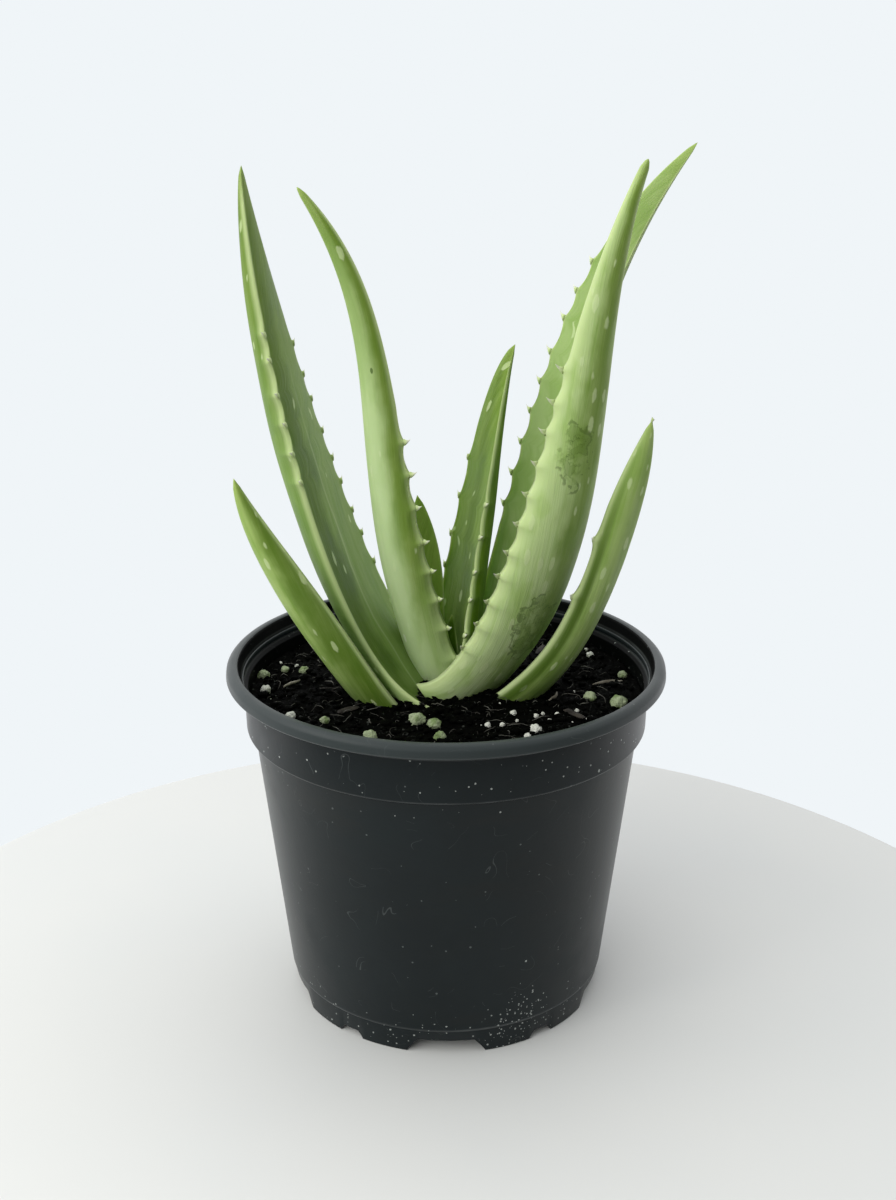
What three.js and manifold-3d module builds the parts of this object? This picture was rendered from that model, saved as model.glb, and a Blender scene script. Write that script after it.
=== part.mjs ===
// A young aloe growing in a round nursery pot, in millimetres, +Z up.
// The origin is the centre of the pot's underside, where it meets the table.
import * as THREE from 'three';
import { mergeVertices } from 'three/addons/utils/BufferGeometryUtils.js';
import Module from 'manifold-3d';

// ---- Driving dimensions ----------------------------------------------------------------------

const GAP = 0.3; // clearance kept between two pieces that touch
const LEAF_GAP = 0.4; // clearance between two leaves, which nest on curved faces
const MIX_GAP = 0.6; // clearance between a leaf and the mix

// The pot: a thin moulded cone with a rolled lip, a shoulder band and a castellated foot.
const POT_HEIGHT = 125.8;
const LIP_OUTER_R = 77.5;
const LIP_INNER_R = 73;
const LIP_DEPTH = 5;
const BAND_TOP_R = 71.3;
const BAND_BOTTOM_R = 70.9;
const BAND_BOTTOM_Z = 102.8;
const WALL_TOP_R = 68.3;
const WALL_BOTTOM_R = 57.9;
const FOOT_R = 56.8;
const FOOT_HEIGHT = 9.7;
const WALL = 1.5;
const PAD_R = 39; // the floor's centre, which stands on the table
const FLOOR = 1.8;
const GUTTER_Z = 5.4; // underside of the raised ring round the pad
const POT_SIDES = 50;

// The foot's openings: five wide notches with drain slots behind them, five small notches between.
const NOTCHES = 5;
const WIDE_NOTCH = { bottom: 13.6, top: 9.8, height: 5 };
const SMALL_NOTCH = { bottom: 4.6, top: 3.4, height: 2.6 };
const DRAIN_SLOT = { inner: 45, outer: 52, half: 7 };

// The potting mix.
const SOIL_LEVEL = 113;
const SOIL_SIDES = 36;
const SOIL_MOUND = 1.6; // how far the mix rises round the plant
const SOIL_RIPPLE = 0.54;
const SOIL_CLEARANCE = 0.45; // between the mix and the pot's wall

// The stem: a short crown below the leaves, narrowing into the root neck.
const STEM_OUTLINE = [[0, 54], [4, 56], [7, 64], [8.5, 78], [9, 92], [8, 101], [5, 106], [0, 107]];
const ROOTS = 5;
const ROOT_R = 1.7;

// The leaves, outermost first. A spine is the row of control points of one Bezier curve, from
// the stem to the tip; width holds the control values of the leaf's breadth along it; facing is
// the compass angle, in degrees from +X, towards which the hollow upper face looks, at the stem
// and at the tip; belly is the depth of the rounded lower face as a share of the breadth, and
// channel the depth of the hollow at the stem where it is shallower than the rest.
const LEAVES = [
  {
    name: 'leaf_left_low', colour: 0x6f9148,
    spine: [[-13, -4, 103], [-31, -6, 117], [-41, -15, 145], [-63, -15, 169], [-70, -15, 194]],
    width: [23.5, 26.5, 17, 15.5, 1], facing: [20, 70], belly: 0.33,
  },
  {
    name: 'leaf_right_low', colour: 0x6f9148,
    spine: [[14, -5, 105], [55, -4, 133], [48, -7, 160], [62, -12, 185], [68, -8, 212]],
    width: [19, 18, 12.5, 20, 1], facing: [150, 105], belly: 0.32,
  },
  {
    name: 'leaf_left_tall', colour: 0x7a9c52,
    spine: [[9, -12, 103.5], [-26, 13, 118], [-39, 2, 167], [-60, 3, 243], [-66, 8, 292]],
    width: [28, 36.5, 35.5, 30, 1.5], facing: [-18, -11], belly: 0.3, channel: 0.07,
  },
  {
    name: 'leaf_front_right', colour: 0x96b374,
    spine: [[-5, 5, 107], [22, 10, 126], [46, -24, 174], [37, -20, 235], [63, -9, 295]],
    width: [38, 46, 27, 14, 2.5], facing: [158, 95], belly: 0.29,
  },
  {
    name: 'leaf_front_left', colour: 0x9dba7c,
    spine: [[5, 15, 99], [-22, -4, 169], [-22, -18, 217], [-17, -18, 251], [-46, -16, 287]],
    width: [28.5, 27.5, 5, 13, 1.5], facing: [33, 79], belly: 0.32,
  },
  {
    name: 'leaf_back_right', colour: 0x789a52,
    spine: [[7, 5, 103], [29, 12, 162], [35, 18, 218], [48, 16, 264], [81, 10, 299]],
    width: [16, 30.5, 17, 19, 1], facing: [219, 219], belly: 0.35,
  },
  {
    name: 'leaf_inner_centre', colour: 0x5c8330,
    spine: [[0, 3, 104], [-2, 4, 143], [12, 5, 181], [13, 7, 219], [23, 4, 235]],
    width: [28.5, 33.5, 16.5, 15.5, 1], facing: [195, 210], belly: 0.34,
  },
  {
    name: 'leaf_inner_small', colour: 0x55802c,
    spine: [[-3, 3, 106], [-6, 4, 137], [-7, 6, 164], [-10, 8, 182]],
    width: [4, 9, 19, 12.5, 1], facing: [-60, -61], belly: 0.35,
  },
  {
    name: 'leaf_core_sprout', colour: 0x4f7a2a,
    spine: [[1, 1, 108], [2, 1, 118], [1, 0, 132], [2, 0, 141]],
    width: [9, 9, 6, 1], facing: [-60, -60], belly: 0.36,
  },
];
const TIP_BELLY = 0.42; // the lower face is rounder at a tip
const CHANNEL = 0.2; // depth of the hollow upper face at the stem, as a share of the breadth
const TIP_CHANNEL = -0.1; // the upper face swells outwards at a tip
const CHANNEL_SHARPNESS = 1.4;
const LEAF_STEPS = 16;
const HALF_RING = 7; // points from margin to margin, on each face

// Loose grains of expanded perlite half sunk in the mix: [x, y, radius].
const PERLITE = [
  [-10, -31, 2.9], [-4, -34, 2.6], [-66, 10, 2.4], [-64, -3, 2], [-52, 14, 2], [-59, 16, 1.8],
  [-53, -25, 1.8], [-41, -31, 1.9], [-25, -44, 2.8], [-2, -43, 2.1], [54, 30, 2.1],
  [50, -11, 2.4], [60, -15, 3], [30, -37, 2.2], [64, 12, 1.8], [17, 48, 2.4], [-30, 44, 2.1],
];
const GRAIN_LEAST = 0.86; // a grain's corners lie between these shares of its radius
const GRAIN_MOST = 1.1;
const GRAIN_FLATNESS = 0.85;
const GRAIN_LIFT = 0.35; // how far a grain's middle stands above the mix, as a share of its radius

// Slivers of bark lying on the mix: [x, y, heading in degrees, length].
const BARK = [[-34, -22, 35, 9], [44, -24, -50, 10], [-20, 50, 15, 11], [36, 38, 70, 9]];

// Thin twigs and dry roots lying on the mix: [x, y, heading in degrees, length].
const TWIGS = [[58, 4, 20, 11], [-55, 3, 62, 9], [38, -9, 72, 9], [-3, 56, 160, 14]];

// ---- Shared shape tools ----------------------------------------------------------------------

const wasm = await Module();
wasm.setup();

const rad = THREE.MathUtils.degToRad;
const mix = THREE.MathUtils.lerp;
const plant = new THREE.Group();

function addPiece(name, geometry, colour, roughness) {
  const material = new THREE.MeshStandardMaterial({ color: colour, roughness, metalness: 0 });
  const mesh = new THREE.Mesh(geometry, material);
  mesh.name = name;
  plant.add(mesh);
}

function toSolid(geometry) {
  const bare = geometry.clone();
  bare.deleteAttribute('normal');
  bare.deleteAttribute('uv');
  const merged = mergeVertices(bare, 1e-4);
  return new wasm.Manifold(new wasm.Mesh({
    numProp: 3,
    vertProperties: merged.attributes.position.array,
    triVerts: new Uint32Array(merged.index.array),
  }));
}

function toGeometry(solid) {
  const mesh = solid.getMesh();
  const geometry = new THREE.BufferGeometry();
  geometry.setAttribute('position', new THREE.BufferAttribute(mesh.vertProperties, 3));
  geometry.setIndex(new THREE.BufferAttribute(mesh.triVerts, 1));
  geometry.computeVertexNormals();
  return geometry;
}

// The largest body that a cut leaves.
function largest(solid) {
  return solid.decompose().reduce((a, b) => (a.volume() > b.volume() ? a : b));
}

// Closed skin through a list of rings, each ring the same even number of points. Each end is
// zipped shut across, from point 0 to the point opposite it.
function skin(rings) {
  const around = rings[0].length;
  const positions = [];
  const faces = [];
  for (const ring of rings) for (const p of ring) positions.push(p.x, p.y, p.z);
  for (let i = 0; i < rings.length - 1; i += 1) {
    for (let j = 0; j < around; j += 1) {
      const a = i * around + j;
      const b = i * around + ((j + 1) % around);
      faces.push(a, b, a + around, b, b + around, a + around);
    }
  }
  for (const start of [0, (rings.length - 1) * around]) {
    const add = (p, q, r) => (start === 0 ? faces.push(r, q, p) : faces.push(p, q, r));
    for (let i = 0; i < around / 2; i += 1) {
      const a = start + i;
      const b = start + i + 1;
      const c = start + around - i - 1;
      const d = start + ((around - i) % around);
      if (b !== c) add(a, b, c);
      if (a !== d) add(a, c, d);
    }
  }
  const geometry = new THREE.BufferGeometry();
  geometry.setAttribute('position', new THREE.Float32BufferAttribute(positions, 3));
  geometry.setIndex(faces);
  return geometry;
}

// Repeatable pseudo-random numbers from 0 to 1.
function dice(seed) {
  let state = seed;
  return () => {
    state = (state * 16807) % 2147483647;
    return state / 2147483647;
  };
}

// ---- Pot -------------------------------------------------------------------------------------

// Radius of the pot's inner wall at a height.
function innerRadius(z) {
  if (z > BAND_BOTTOM_Z) {
    const rise = (z - BAND_BOTTOM_Z) / (POT_HEIGHT - LIP_DEPTH - BAND_BOTTOM_Z);
    return mix(BAND_BOTTOM_R, BAND_TOP_R, rise) - WALL;
  }
  return mix(WALL_BOTTOM_R, WALL_TOP_R, (z - FOOT_HEIGHT) / (BAND_BOTTOM_Z - FOOT_HEIGHT)) - WALL;
}

function potOutline() {
  const lipBottom = POT_HEIGHT - LIP_DEPTH;
  const gutterTop = GUTTER_Z + FLOOR;
  return [
    [0, 0], [PAD_R, 0], [PAD_R + 2, GUTTER_Z], [FOOT_R - WALL - 0.6, GUTTER_Z],
    [FOOT_R - WALL, 0], [FOOT_R, 0], [WALL_BOTTOM_R - 0.3, FOOT_HEIGHT - 0.5],
    [WALL_BOTTOM_R, FOOT_HEIGHT], [WALL_TOP_R, BAND_BOTTOM_Z], [BAND_BOTTOM_R, BAND_BOTTOM_Z],
    [BAND_TOP_R, lipBottom], [LIP_OUTER_R - 0.9, lipBottom], [LIP_OUTER_R, lipBottom + 0.8],
    [LIP_OUTER_R, POT_HEIGHT - 1.4], [LIP_OUTER_R - 0.5, POT_HEIGHT - 0.5],
    [LIP_OUTER_R - 1.5, POT_HEIGHT], [LIP_INNER_R + 0.6, POT_HEIGHT],
    [LIP_INNER_R, POT_HEIGHT - 0.5], [LIP_INNER_R - 1.5, POT_HEIGHT - 7.2],
    [innerRadius(POT_HEIGHT - 8), POT_HEIGHT - 8],
    [innerRadius(BAND_BOTTOM_Z + 1.6), BAND_BOTTOM_Z + 1.6],
    [innerRadius(BAND_BOTTOM_Z - 1), BAND_BOTTOM_Z - 1], [innerRadius(gutterTop), gutterTop],
    [PAD_R + 1.2, gutterTop], [PAD_R - 0.8, FLOOR], [0, FLOOR],
  ].map(([r, z]) => new THREE.Vector2(r, z));
}

// Turns an outline of radius and height about the Z axis.
function turned(outline, sides) {
  return new THREE.LatheGeometry(outline, sides).rotateX(Math.PI / 2);
}

// A block with sloping sides that runs outwards through the foot along +X, from z = -1 upwards.
function notchCutter({ bottom, top, height }) {
  const slope = (bottom - top) / height;
  const shape = new THREE.Shape();
  shape.moveTo(-bottom - slope, -1);
  shape.lineTo(bottom + slope, -1);
  shape.lineTo(top, height);
  shape.lineTo(-top, height);
  shape.closePath();
  const block = new THREE.ExtrudeGeometry(shape, { depth: 14, bevelEnabled: false });
  return block.rotateX(Math.PI / 2).rotateZ(Math.PI / 2).translate(48, 0, 0);
}

function makePot() {
  let pot = toSolid(turned(potOutline(), POT_SIDES));
  const { inner, outer, half } = DRAIN_SLOT;
  const slot = new THREE.BoxGeometry(outer - inner, 2 * half, 6);
  slot.translate((inner + outer) / 2, 0, GUTTER_Z + 1);
  for (let i = 0; i < NOTCHES; i += 1) {
    const front = rad(-90 + (360 / NOTCHES) * i);
    const between = front + Math.PI / NOTCHES;
    pot = pot.subtract(toSolid(notchCutter(WIDE_NOTCH).rotateZ(front)));
    pot = pot.subtract(toSolid(slot.clone().rotateZ(front)));
    pot = pot.subtract(toSolid(notchCutter(SMALL_NOTCH).rotateZ(between)));
  }
  return pot;
}

addPiece('pot', toGeometry(makePot()), 0x26292b, 0.5);

// ---- Stem and roots --------------------------------------------------------------------------

function makeStem(grow) {
  const outline = STEM_OUTLINE.map(([r, z], i) => {
    const end = i === 0 ? -grow : (i === STEM_OUTLINE.length - 1 ? grow : 0);
    return new THREE.Vector2(r === 0 ? 0 : r + grow, z + end);
  });
  let stem = toSolid(turned(outline, 14));
  for (let i = 0; i < ROOTS; i += 1) {
    const turn = rad((360 / ROOTS) * i + 14);
    const reach = 38 + 7 * Math.sin(2.3 * i);
    const depth = 22 + 14 * (i % 3);
    const out = (r, z, bend) => new THREE.Vector3(
      r * Math.cos(turn + bend), r * Math.sin(turn + bend), z,
    );
    const path = new THREE.CatmullRomCurve3([
      out(2, 66, 0), out(14, 62, 0.1), out(reach * 0.7, mix(60, depth, 0.45), 0.25),
      out(reach + grow, depth - grow, 0.15),
    ]);
    const round = new THREE.Shape();
    round.absarc(0, 0, ROOT_R + grow, 0, 2 * Math.PI);
    const settings = { steps: 5, extrudePath: path, curveSegments: 3, bevelEnabled: false };
    stem = stem.add(toSolid(new THREE.ExtrudeGeometry(round, settings)));
  }
  return largest(stem);
}

addPiece('stem', toGeometry(makeStem(0)), 0xb7a67c, 0.8);

// ---- Leaves ----------------------------------------------------------------------------------

// Value of a Bezier curve with any number of control values.
function bezier(values, t) {
  let row = values;
  while (row.length > 1) row = row.slice(1).map((v, i) => mix(row[i], v, t));
  return row[0];
}

function pointAt(spine, t) {
  return new THREE.Vector3(...[0, 1, 2].map((axis) => bezier(spine.map((p) => p[axis]), t)));
}

// One crescent section of a leaf, swollen by grow and moved along the spine: lower face from
// margin to margin, then back along the channel.
function leafSection(leaf, t, grow, along) {
  const step = 0.002;
  const low = pointAt(leaf.spine, Math.max(t - step, 0));
  const tangent = pointAt(leaf.spine, Math.min(t + step, 1)).sub(low).normalize();
  const facing = rad(mix(leaf.facing[0], leaf.facing[1], t));
  const upper = new THREE.Vector3(Math.cos(facing), Math.sin(facing), 0);
  upper.addScaledVector(tangent, -upper.dot(tangent)).normalize();
  const across = new THREE.Vector3().crossVectors(tangent, upper);
  const breadth = Math.max(bezier(leaf.width, t), 0.8);
  const belly = breadth * mix(leaf.belly, TIP_BELLY, t);
  const hollow = breadth * mix(leaf.channel ?? CHANNEL, TIP_CHANNEL, t);
  const half = breadth / 2;
  const centre = pointAt(leaf.spine, t);
  centre.addScaledVector(tangent, along);
  const place = (u, n) => centre.clone().addScaledVector(across, u).addScaledVector(upper, n);
  const ring = [];
  for (let i = 0; i <= HALF_RING; i += 1) {
    const angle = (Math.PI * i) / HALF_RING;
    const margin = i === 0 || i === HALF_RING;
    const n = margin ? 2 * grow : -(belly + grow) * Math.sin(angle);
    ring.push(place((half + (margin ? 1.5 : 1) * grow) * Math.cos(angle), n));
  }
  for (let i = HALF_RING - 1; i > 0; i -= 1) {
    const angle = (Math.PI * i) / HALF_RING;
    const dip = hollow * Math.sin(angle) ** CHANNEL_SHARPNESS;
    ring.push(place(half * Math.cos(angle), grow - dip));
  }
  return ring;
}

function makeLeaf(leaf, grow) {
  const rings = [];
  if (grow > 0) rings.push(leafSection(leaf, 0, grow, -grow));
  for (let i = 0; i <= LEAF_STEPS; i += 1) rings.push(leafSection(leaf, i / LEAF_STEPS, grow, 0));
  if (grow > 0) rings.push(leafSection(leaf, 1, grow, grow));
  return toSolid(skin(rings));
}

// Cuts a list of solids out of a body and keeps the largest body that is left.
function clearOf(body, cutters) {
  return largest(cutters.reduce((rest, cutter) => rest.subtract(cutter), body));
}

// Each leaf is cut clear of the stem and of every leaf that wraps round it. The mix keeps a
// wider gap, because its hole has to clear the bent foot of each leaf.
const inTheWay = [makeStem(GAP)];
const holes = [makeStem(GAP)];
for (const leaf of LEAVES) {
  addPiece(leaf.name, toGeometry(clearOf(makeLeaf(leaf, 0), inTheWay)), leaf.colour, 0.5);
  inTheWay.push(makeLeaf(leaf, LEAF_GAP));
  holes.push(makeLeaf(leaf, MIX_GAP));
}

// ---- Perlite, bark and twigs -----------------------------------------------------------------

// Height of the mix at a place.
function soilHeight(x, y) {
  const mound = SOIL_MOUND * Math.exp(-(x * x + y * y) / 900);
  const ripple = Math.sin(0.19 * x + 1.3) * Math.cos(0.23 * y - 0.4) + 0.5 * Math.sin(0.41 * (x + y));
  return SOIL_LEVEL + mound + SOIL_RIPPLE * ripple;
}

function makeGrain([x, y, r], seed, grow) {
  const roll = dice(seed * 7919 + 11);
  const ball = new THREE.OctahedronGeometry(1, 1);
  ball.deleteAttribute('normal');
  ball.deleteAttribute('uv');
  const grain = mergeVertices(ball, 1e-4);
  const corners = grain.getAttribute('position');
  for (let i = 0; i < corners.count; i += 1) {
    const size = r * mix(GRAIN_LEAST, GRAIN_MOST, roll()) + grow;
    const corner = new THREE.Vector3().fromBufferAttribute(corners, i).multiplyScalar(size);
    corners.setXYZ(i, corner.x, corner.y, corner.z * GRAIN_FLATNESS);
  }
  return toSolid(grain.translate(x, y, soilHeight(x, y) + GRAIN_LIFT * r));
}

function makeSliver([x, y, heading, length], grow) {
  const outline = new THREE.Shape();
  const half = length / 2 + grow;
  outline.moveTo(-half, -0.6 - grow);
  outline.lineTo(-half * 0.3, -1.5 - grow);
  outline.lineTo(half, -0.5 - grow);
  outline.lineTo(half * 0.8, 0.9 + grow);
  outline.lineTo(-half * 0.6, 1.3 + grow);
  outline.closePath();
  const thick = 1.1 + 2 * grow;
  const sliver = new THREE.ExtrudeGeometry(outline, { depth: thick, bevelEnabled: false });
  sliver.translate(0, 0, -thick / 2).rotateY(rad(6)).rotateZ(rad(heading));
  return toSolid(sliver.translate(x, y, soilHeight(x, y) + 0.5));
}

function makeTwig([x, y, heading, length], grow) {
  const run = new THREE.Vector3(Math.cos(rad(heading)), Math.sin(rad(heading)), 0);
  const side = new THREE.Vector3(-run.y, run.x, 0);
  const half = length / 2 + grow;
  const points = [[-1, 0], [-0.3, 0.9], [0.35, -0.3], [1, 0.6]].map(([along, off]) => {
    const p = new THREE.Vector3(x, y, 0).addScaledVector(run, along * half).addScaledVector(side, off);
    return p.setZ(soilHeight(p.x, p.y) + 0.5);
  });
  const round = new THREE.Shape();
  round.absarc(0, 0, 0.55 + grow, 0, 2 * Math.PI);
  const path = new THREE.CatmullRomCurve3(points);
  const settings = { steps: 6, extrudePath: path, curveSegments: 3, bevelEnabled: false };
  return toSolid(new THREE.ExtrudeGeometry(round, settings));
}

PERLITE.forEach((grain, i) => {
  addPiece(`perlite_${i + 1}`, toGeometry(makeGrain(grain, i + 1, 0)), 0xc9cdb4, 0.9);
  holes.push(makeGrain(grain, i + 1, GAP));
});
BARK.forEach((sliver, i) => {
  addPiece(`bark_${i + 1}`, toGeometry(makeSliver(sliver, 0)), 0x3a2c22, 0.9);
  holes.push(makeSliver(sliver, GAP));
});
TWIGS.forEach((twig, i) => {
  addPiece(`twig_${i + 1}`, toGeometry(makeTwig(twig, 0)), 0x8b8470, 0.9);
  holes.push(makeTwig(twig, GAP));
});

// ---- Soil ------------------------------------------------------------------------------------

// One level ring of the mix, its radius shrunk to clear the pot.
function soilRing(radius, heightAt) {
  const ring = [];
  for (let i = 0; i < SOIL_SIDES; i += 1) {
    const angle = (2 * Math.PI * i) / SOIL_SIDES;
    const x = radius * Math.cos(angle);
    const y = radius * Math.sin(angle);
    ring.push(new THREE.Vector3(x, y, heightAt(x, y)));
  }
  return ring;
}

function makeSoil() {
  const clear = (z) => innerRadius(z) - SOIL_CLEARANCE;
  const gutterTop = GUTTER_Z + FLOOR + GAP;
  const side = [
    [0.5, FLOOR + GAP], [PAD_R - 1.4, FLOOR + GAP], [PAD_R + 0.6, gutterTop],
    [clear(gutterTop), gutterTop], [clear(BAND_BOTTOM_Z - 1.2), BAND_BOTTOM_Z - 1.2],
    [clear(BAND_BOTTOM_Z + 2), BAND_BOTTOM_Z + 2],
  ];
  const rings = side.map(([r, z]) => soilRing(r, () => z));
  const edge = clear(SOIL_LEVEL);
  for (const share of [1, 0.9, 0.78, 0.66, 0.54, 0.42, 0.3, 0.15, 0.01]) {
    rings.push(soilRing(edge * share, soilHeight));
  }
  return clearOf(toSolid(skin(rings)), holes);
}

addPiece('soil', toGeometry(makeSoil()), 0x14110e, 0.95);

export default plant;
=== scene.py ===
import bmesh
import bpy
import math
import random
import numpy as np
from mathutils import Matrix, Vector, noise


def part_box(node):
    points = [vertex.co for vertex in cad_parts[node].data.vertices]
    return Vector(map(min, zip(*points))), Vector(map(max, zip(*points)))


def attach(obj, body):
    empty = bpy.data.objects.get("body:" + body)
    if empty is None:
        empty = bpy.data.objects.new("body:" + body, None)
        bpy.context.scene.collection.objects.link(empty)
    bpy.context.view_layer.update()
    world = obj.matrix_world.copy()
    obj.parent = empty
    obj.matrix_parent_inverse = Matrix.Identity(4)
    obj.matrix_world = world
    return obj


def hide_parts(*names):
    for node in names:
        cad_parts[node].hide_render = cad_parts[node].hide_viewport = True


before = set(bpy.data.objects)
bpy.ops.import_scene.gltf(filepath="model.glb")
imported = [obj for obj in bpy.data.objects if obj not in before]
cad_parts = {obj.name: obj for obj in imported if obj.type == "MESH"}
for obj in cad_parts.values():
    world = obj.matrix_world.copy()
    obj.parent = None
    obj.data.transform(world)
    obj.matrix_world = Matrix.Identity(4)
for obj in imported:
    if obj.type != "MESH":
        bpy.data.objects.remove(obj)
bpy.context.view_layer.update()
MM = 0.001


# ---- Table top, daylight and camera ----------------------------------------------------------
# The plant stands on a round white table top in a bright, pale room. Soft window light comes
# from the upper left, the wall behind is bright and the room on the near side is darker.

def add_object(name, data):
    made = bpy.data.objects.new(name, data)
    bpy.context.scene.collection.objects.link(made)
    return made


def mesh_object(name, points, faces, material):
    """A new smooth-shaded object from points in millimetres."""
    mesh = bpy.data.meshes.new(name)
    mesh.from_pydata((np.asarray(points, float) * MM).tolist(), [], faces)
    mesh.update()
    mesh.polygons.foreach_set("use_smooth", [True] * len(mesh.polygons))
    mesh.materials.append(material)
    return add_object(name, mesh)


def put(tree, kind, settings=None, **inputs):
    """One shader node. An input is named, or is i and its number, and takes a value or a link."""
    made = tree.nodes.new(kind)
    for key, value in (settings or {}).items():
        setattr(made, key, value)
    for key, value in inputs.items():
        by_number = key[0] == "i" and key[1:].isdigit()
        socket = made.inputs[int(key[1:]) if by_number else key.replace("_", " ")]
        if isinstance(value, bpy.types.NodeSocket):
            tree.links.new(value, socket)
        else:
            socket.default_value = value
    return made


def mixed(tree, mask, first, second, mode="MIX"):
    """Colour that goes from first to second as the mask rises."""
    settings = {"data_type": "RGBA", "blend_type": mode}
    return put(tree, "ShaderNodeMix", settings, i0=mask, i6=first, i7=second).outputs[2]


def maths(tree, operation, first, second=0.0):
    return put(tree, "ShaderNodeMath", {"operation": operation}, i0=first, i1=second).outputs[0]


def eased(tree, value, start, stop, low=0.0, high=1.0):
    """Value carried smoothly from low to high as it passes from start to stop."""
    settings = {"interpolation_type": "SMOOTHSTEP"}
    return put(tree, "ShaderNodeMapRange", settings,
               i0=value, i1=start, i2=stop, i3=low, i4=high).outputs[0]


def new_material(name):
    material = bpy.data.materials.new(name)
    material.use_nodes = True
    tree = material.node_tree
    return material, tree, tree.nodes["Principled BSDF"]


TABLE_R = 240.0
TABLE_THICK = 18.0
TABLE_EDGE = 4.0
TABLE_Y = -44.0
TABLE_WHITE = (0.72, 0.725, 0.705, 1.0)
TABLE_CLOUD = (0.705, 0.715, 0.70, 1.0)
WALL_WHITE = (0.871, 0.913, 0.939, 1.0)

table_material, tree, shader = new_material("table_lacquer")
place = put(tree, "ShaderNodeTexCoord").outputs["Object"]
cloud = put(tree, "ShaderNodeTexNoise", Vector=place, Scale=9.0, Detail=3.0).outputs["Fac"]
cloudy = mixed(tree, eased(tree, cloud, 0.35, 0.7), TABLE_WHITE, TABLE_CLOUD)
tree.links.new(cloudy, shader.inputs["Base Color"])
shader.inputs["Roughness"].default_value = 0.55
shader.inputs["Specular IOR Level"].default_value = 0.3


def table_top():
    corner = [(TABLE_EDGE * math.sin(a), TABLE_EDGE * (1 - math.cos(a)))
              for a in np.linspace(0, math.pi / 2, 7)]
    rim = [(TABLE_R - TABLE_EDGE + out, -down) for out, down in corner]
    rim.append((TABLE_R, -TABLE_THICK))
    sides = 180
    points = [(0, TABLE_Y, 0)]
    for radius, height in rim:
        for k in range(sides):
            turn = 2 * math.pi * k / sides
            points.append((radius * math.cos(turn), TABLE_Y + radius * math.sin(turn), height))
    faces = [(0, 1 + k, 1 + (k + 1) % sides) for k in range(sides)]
    for ring in range(len(rim) - 1):
        for k in range(sides):
            a = 1 + ring * sides + k
            b = 1 + ring * sides + (k + 1) % sides
            faces.append((a, a + sides, b + sides, b))
    return mesh_object("table_top", points, faces, table_material)


table_top()

# Daylight: the sky and walls of the room, bright behind and above, dim on the near side.
room = bpy.data.worlds.new("room_light")
bpy.context.scene.world = room
room.use_nodes = True
tree = room.node_tree
tree.nodes.clear()
direction = put(tree, "ShaderNodeTexCoord").outputs["Generated"]
parts = put(tree, "ShaderNodeSeparateXYZ", Vector=direction).outputs
behind = eased(tree, parts["Y"], -0.55, 0.35, 0.10, 0.95)
overhead = eased(tree, parts["Z"], -0.1, 0.9, 0.0, 0.30)
leftward = eased(tree, parts["X"], 0.9, -0.9, -0.04, 0.12)
glow = maths(tree, "ADD", maths(tree, "ADD", behind, overhead), leftward)
lit = put(tree, "ShaderNodeBackground", Color=(0.97, 0.985, 1.0, 1.0), Strength=glow)
wall = put(tree, "ShaderNodeBackground", Color=WALL_WHITE, Strength=1.0)
seen = put(tree, "ShaderNodeLightPath").outputs["Is Camera Ray"]
both = put(tree, "ShaderNodeMixShader", i0=seen, i1=lit.outputs[0], i2=wall.outputs[0])
put(tree, "ShaderNodeOutputWorld", Surface=both.outputs[0])


def soft_window(name, place, aim, width, height, watts, colour):
    lamp = bpy.data.lights.new(name, "AREA")
    lamp.shape = "RECTANGLE"
    lamp.size = width
    lamp.size_y = height
    lamp.energy = watts
    lamp.color = colour
    made = add_object(name, lamp)
    made.location = place
    made.rotation_euler = (Vector(aim) - Vector(place)).to_track_quat("-Z", "Y").to_euler()
    return made


soft_window("window_left", (-0.95, -0.35, 0.85), (0, 0, 0.16), 0.9, 0.9, 4.6, (1.0, 0.99, 0.96))
front = soft_window("room_front", (-0.85, -1.25, 0.8), (0, 0, 0.14), 1.5, 1.2, 16.0, (1.0, 1.0, 0.97))
front.visible_glossy = False

camera_data = bpy.data.cameras.new("camera")
camera_data.lens = 45.54
camera_data.sensor_width = 36.0
camera = add_object("camera", camera_data)
camera.location = (0.00066, -0.5, 0.3226)
camera.rotation_euler = (math.radians(70.58), 0, 0)
bpy.context.scene.camera = camera
bpy.context.scene.view_settings.view_transform = "Standard"


# ---- Pot -------------------------------------------------------------------------------------
# A nursery pot moulded in one shot of charcoal polypropylene: a plain cone with a rolled lip, a
# shoulder band, and a foot cut into lugs so that water can run away under it. Years of handling
# have left dust, hair scratches and lime specks on it.

POT_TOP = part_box("pot")[1].z / MM
LIP_OUTER_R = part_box("pot")[1].x / MM
LIP_INNER_R = 73.0
LIP_DEPTH = 5.0
BAND_TOP_R = 71.3
BAND_BOTTOM_R = 70.9
BAND_BOTTOM_Z = 102.8
WALL_TOP_R = 68.3
WALL_BOTTOM_R = 57.9
FOOT_R = 56.8
FOOT_Z = 9.7
WALL = 1.5
PAD_R = 39.0
FLOOR = 1.8
GUTTER_Z = 5.4
SLOT_INNER_R = 45.0
SLOT_OUTER_R = 52.0
SLOT_HALF_TURN = 8.0
POT_COLUMNS = 360
NOTCHES = 5
NOTCH_TURN = 360 / NOTCHES
FIRST_WIDE_NOTCH = -90
FIRST_SMALL_NOTCH = FIRST_WIDE_NOTCH + NOTCH_TURN / 2
WIDE_NOTCH = (13.6, 9.8, 5.0)
SMALL_NOTCH = (4.6, 3.4, 2.6)


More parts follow.
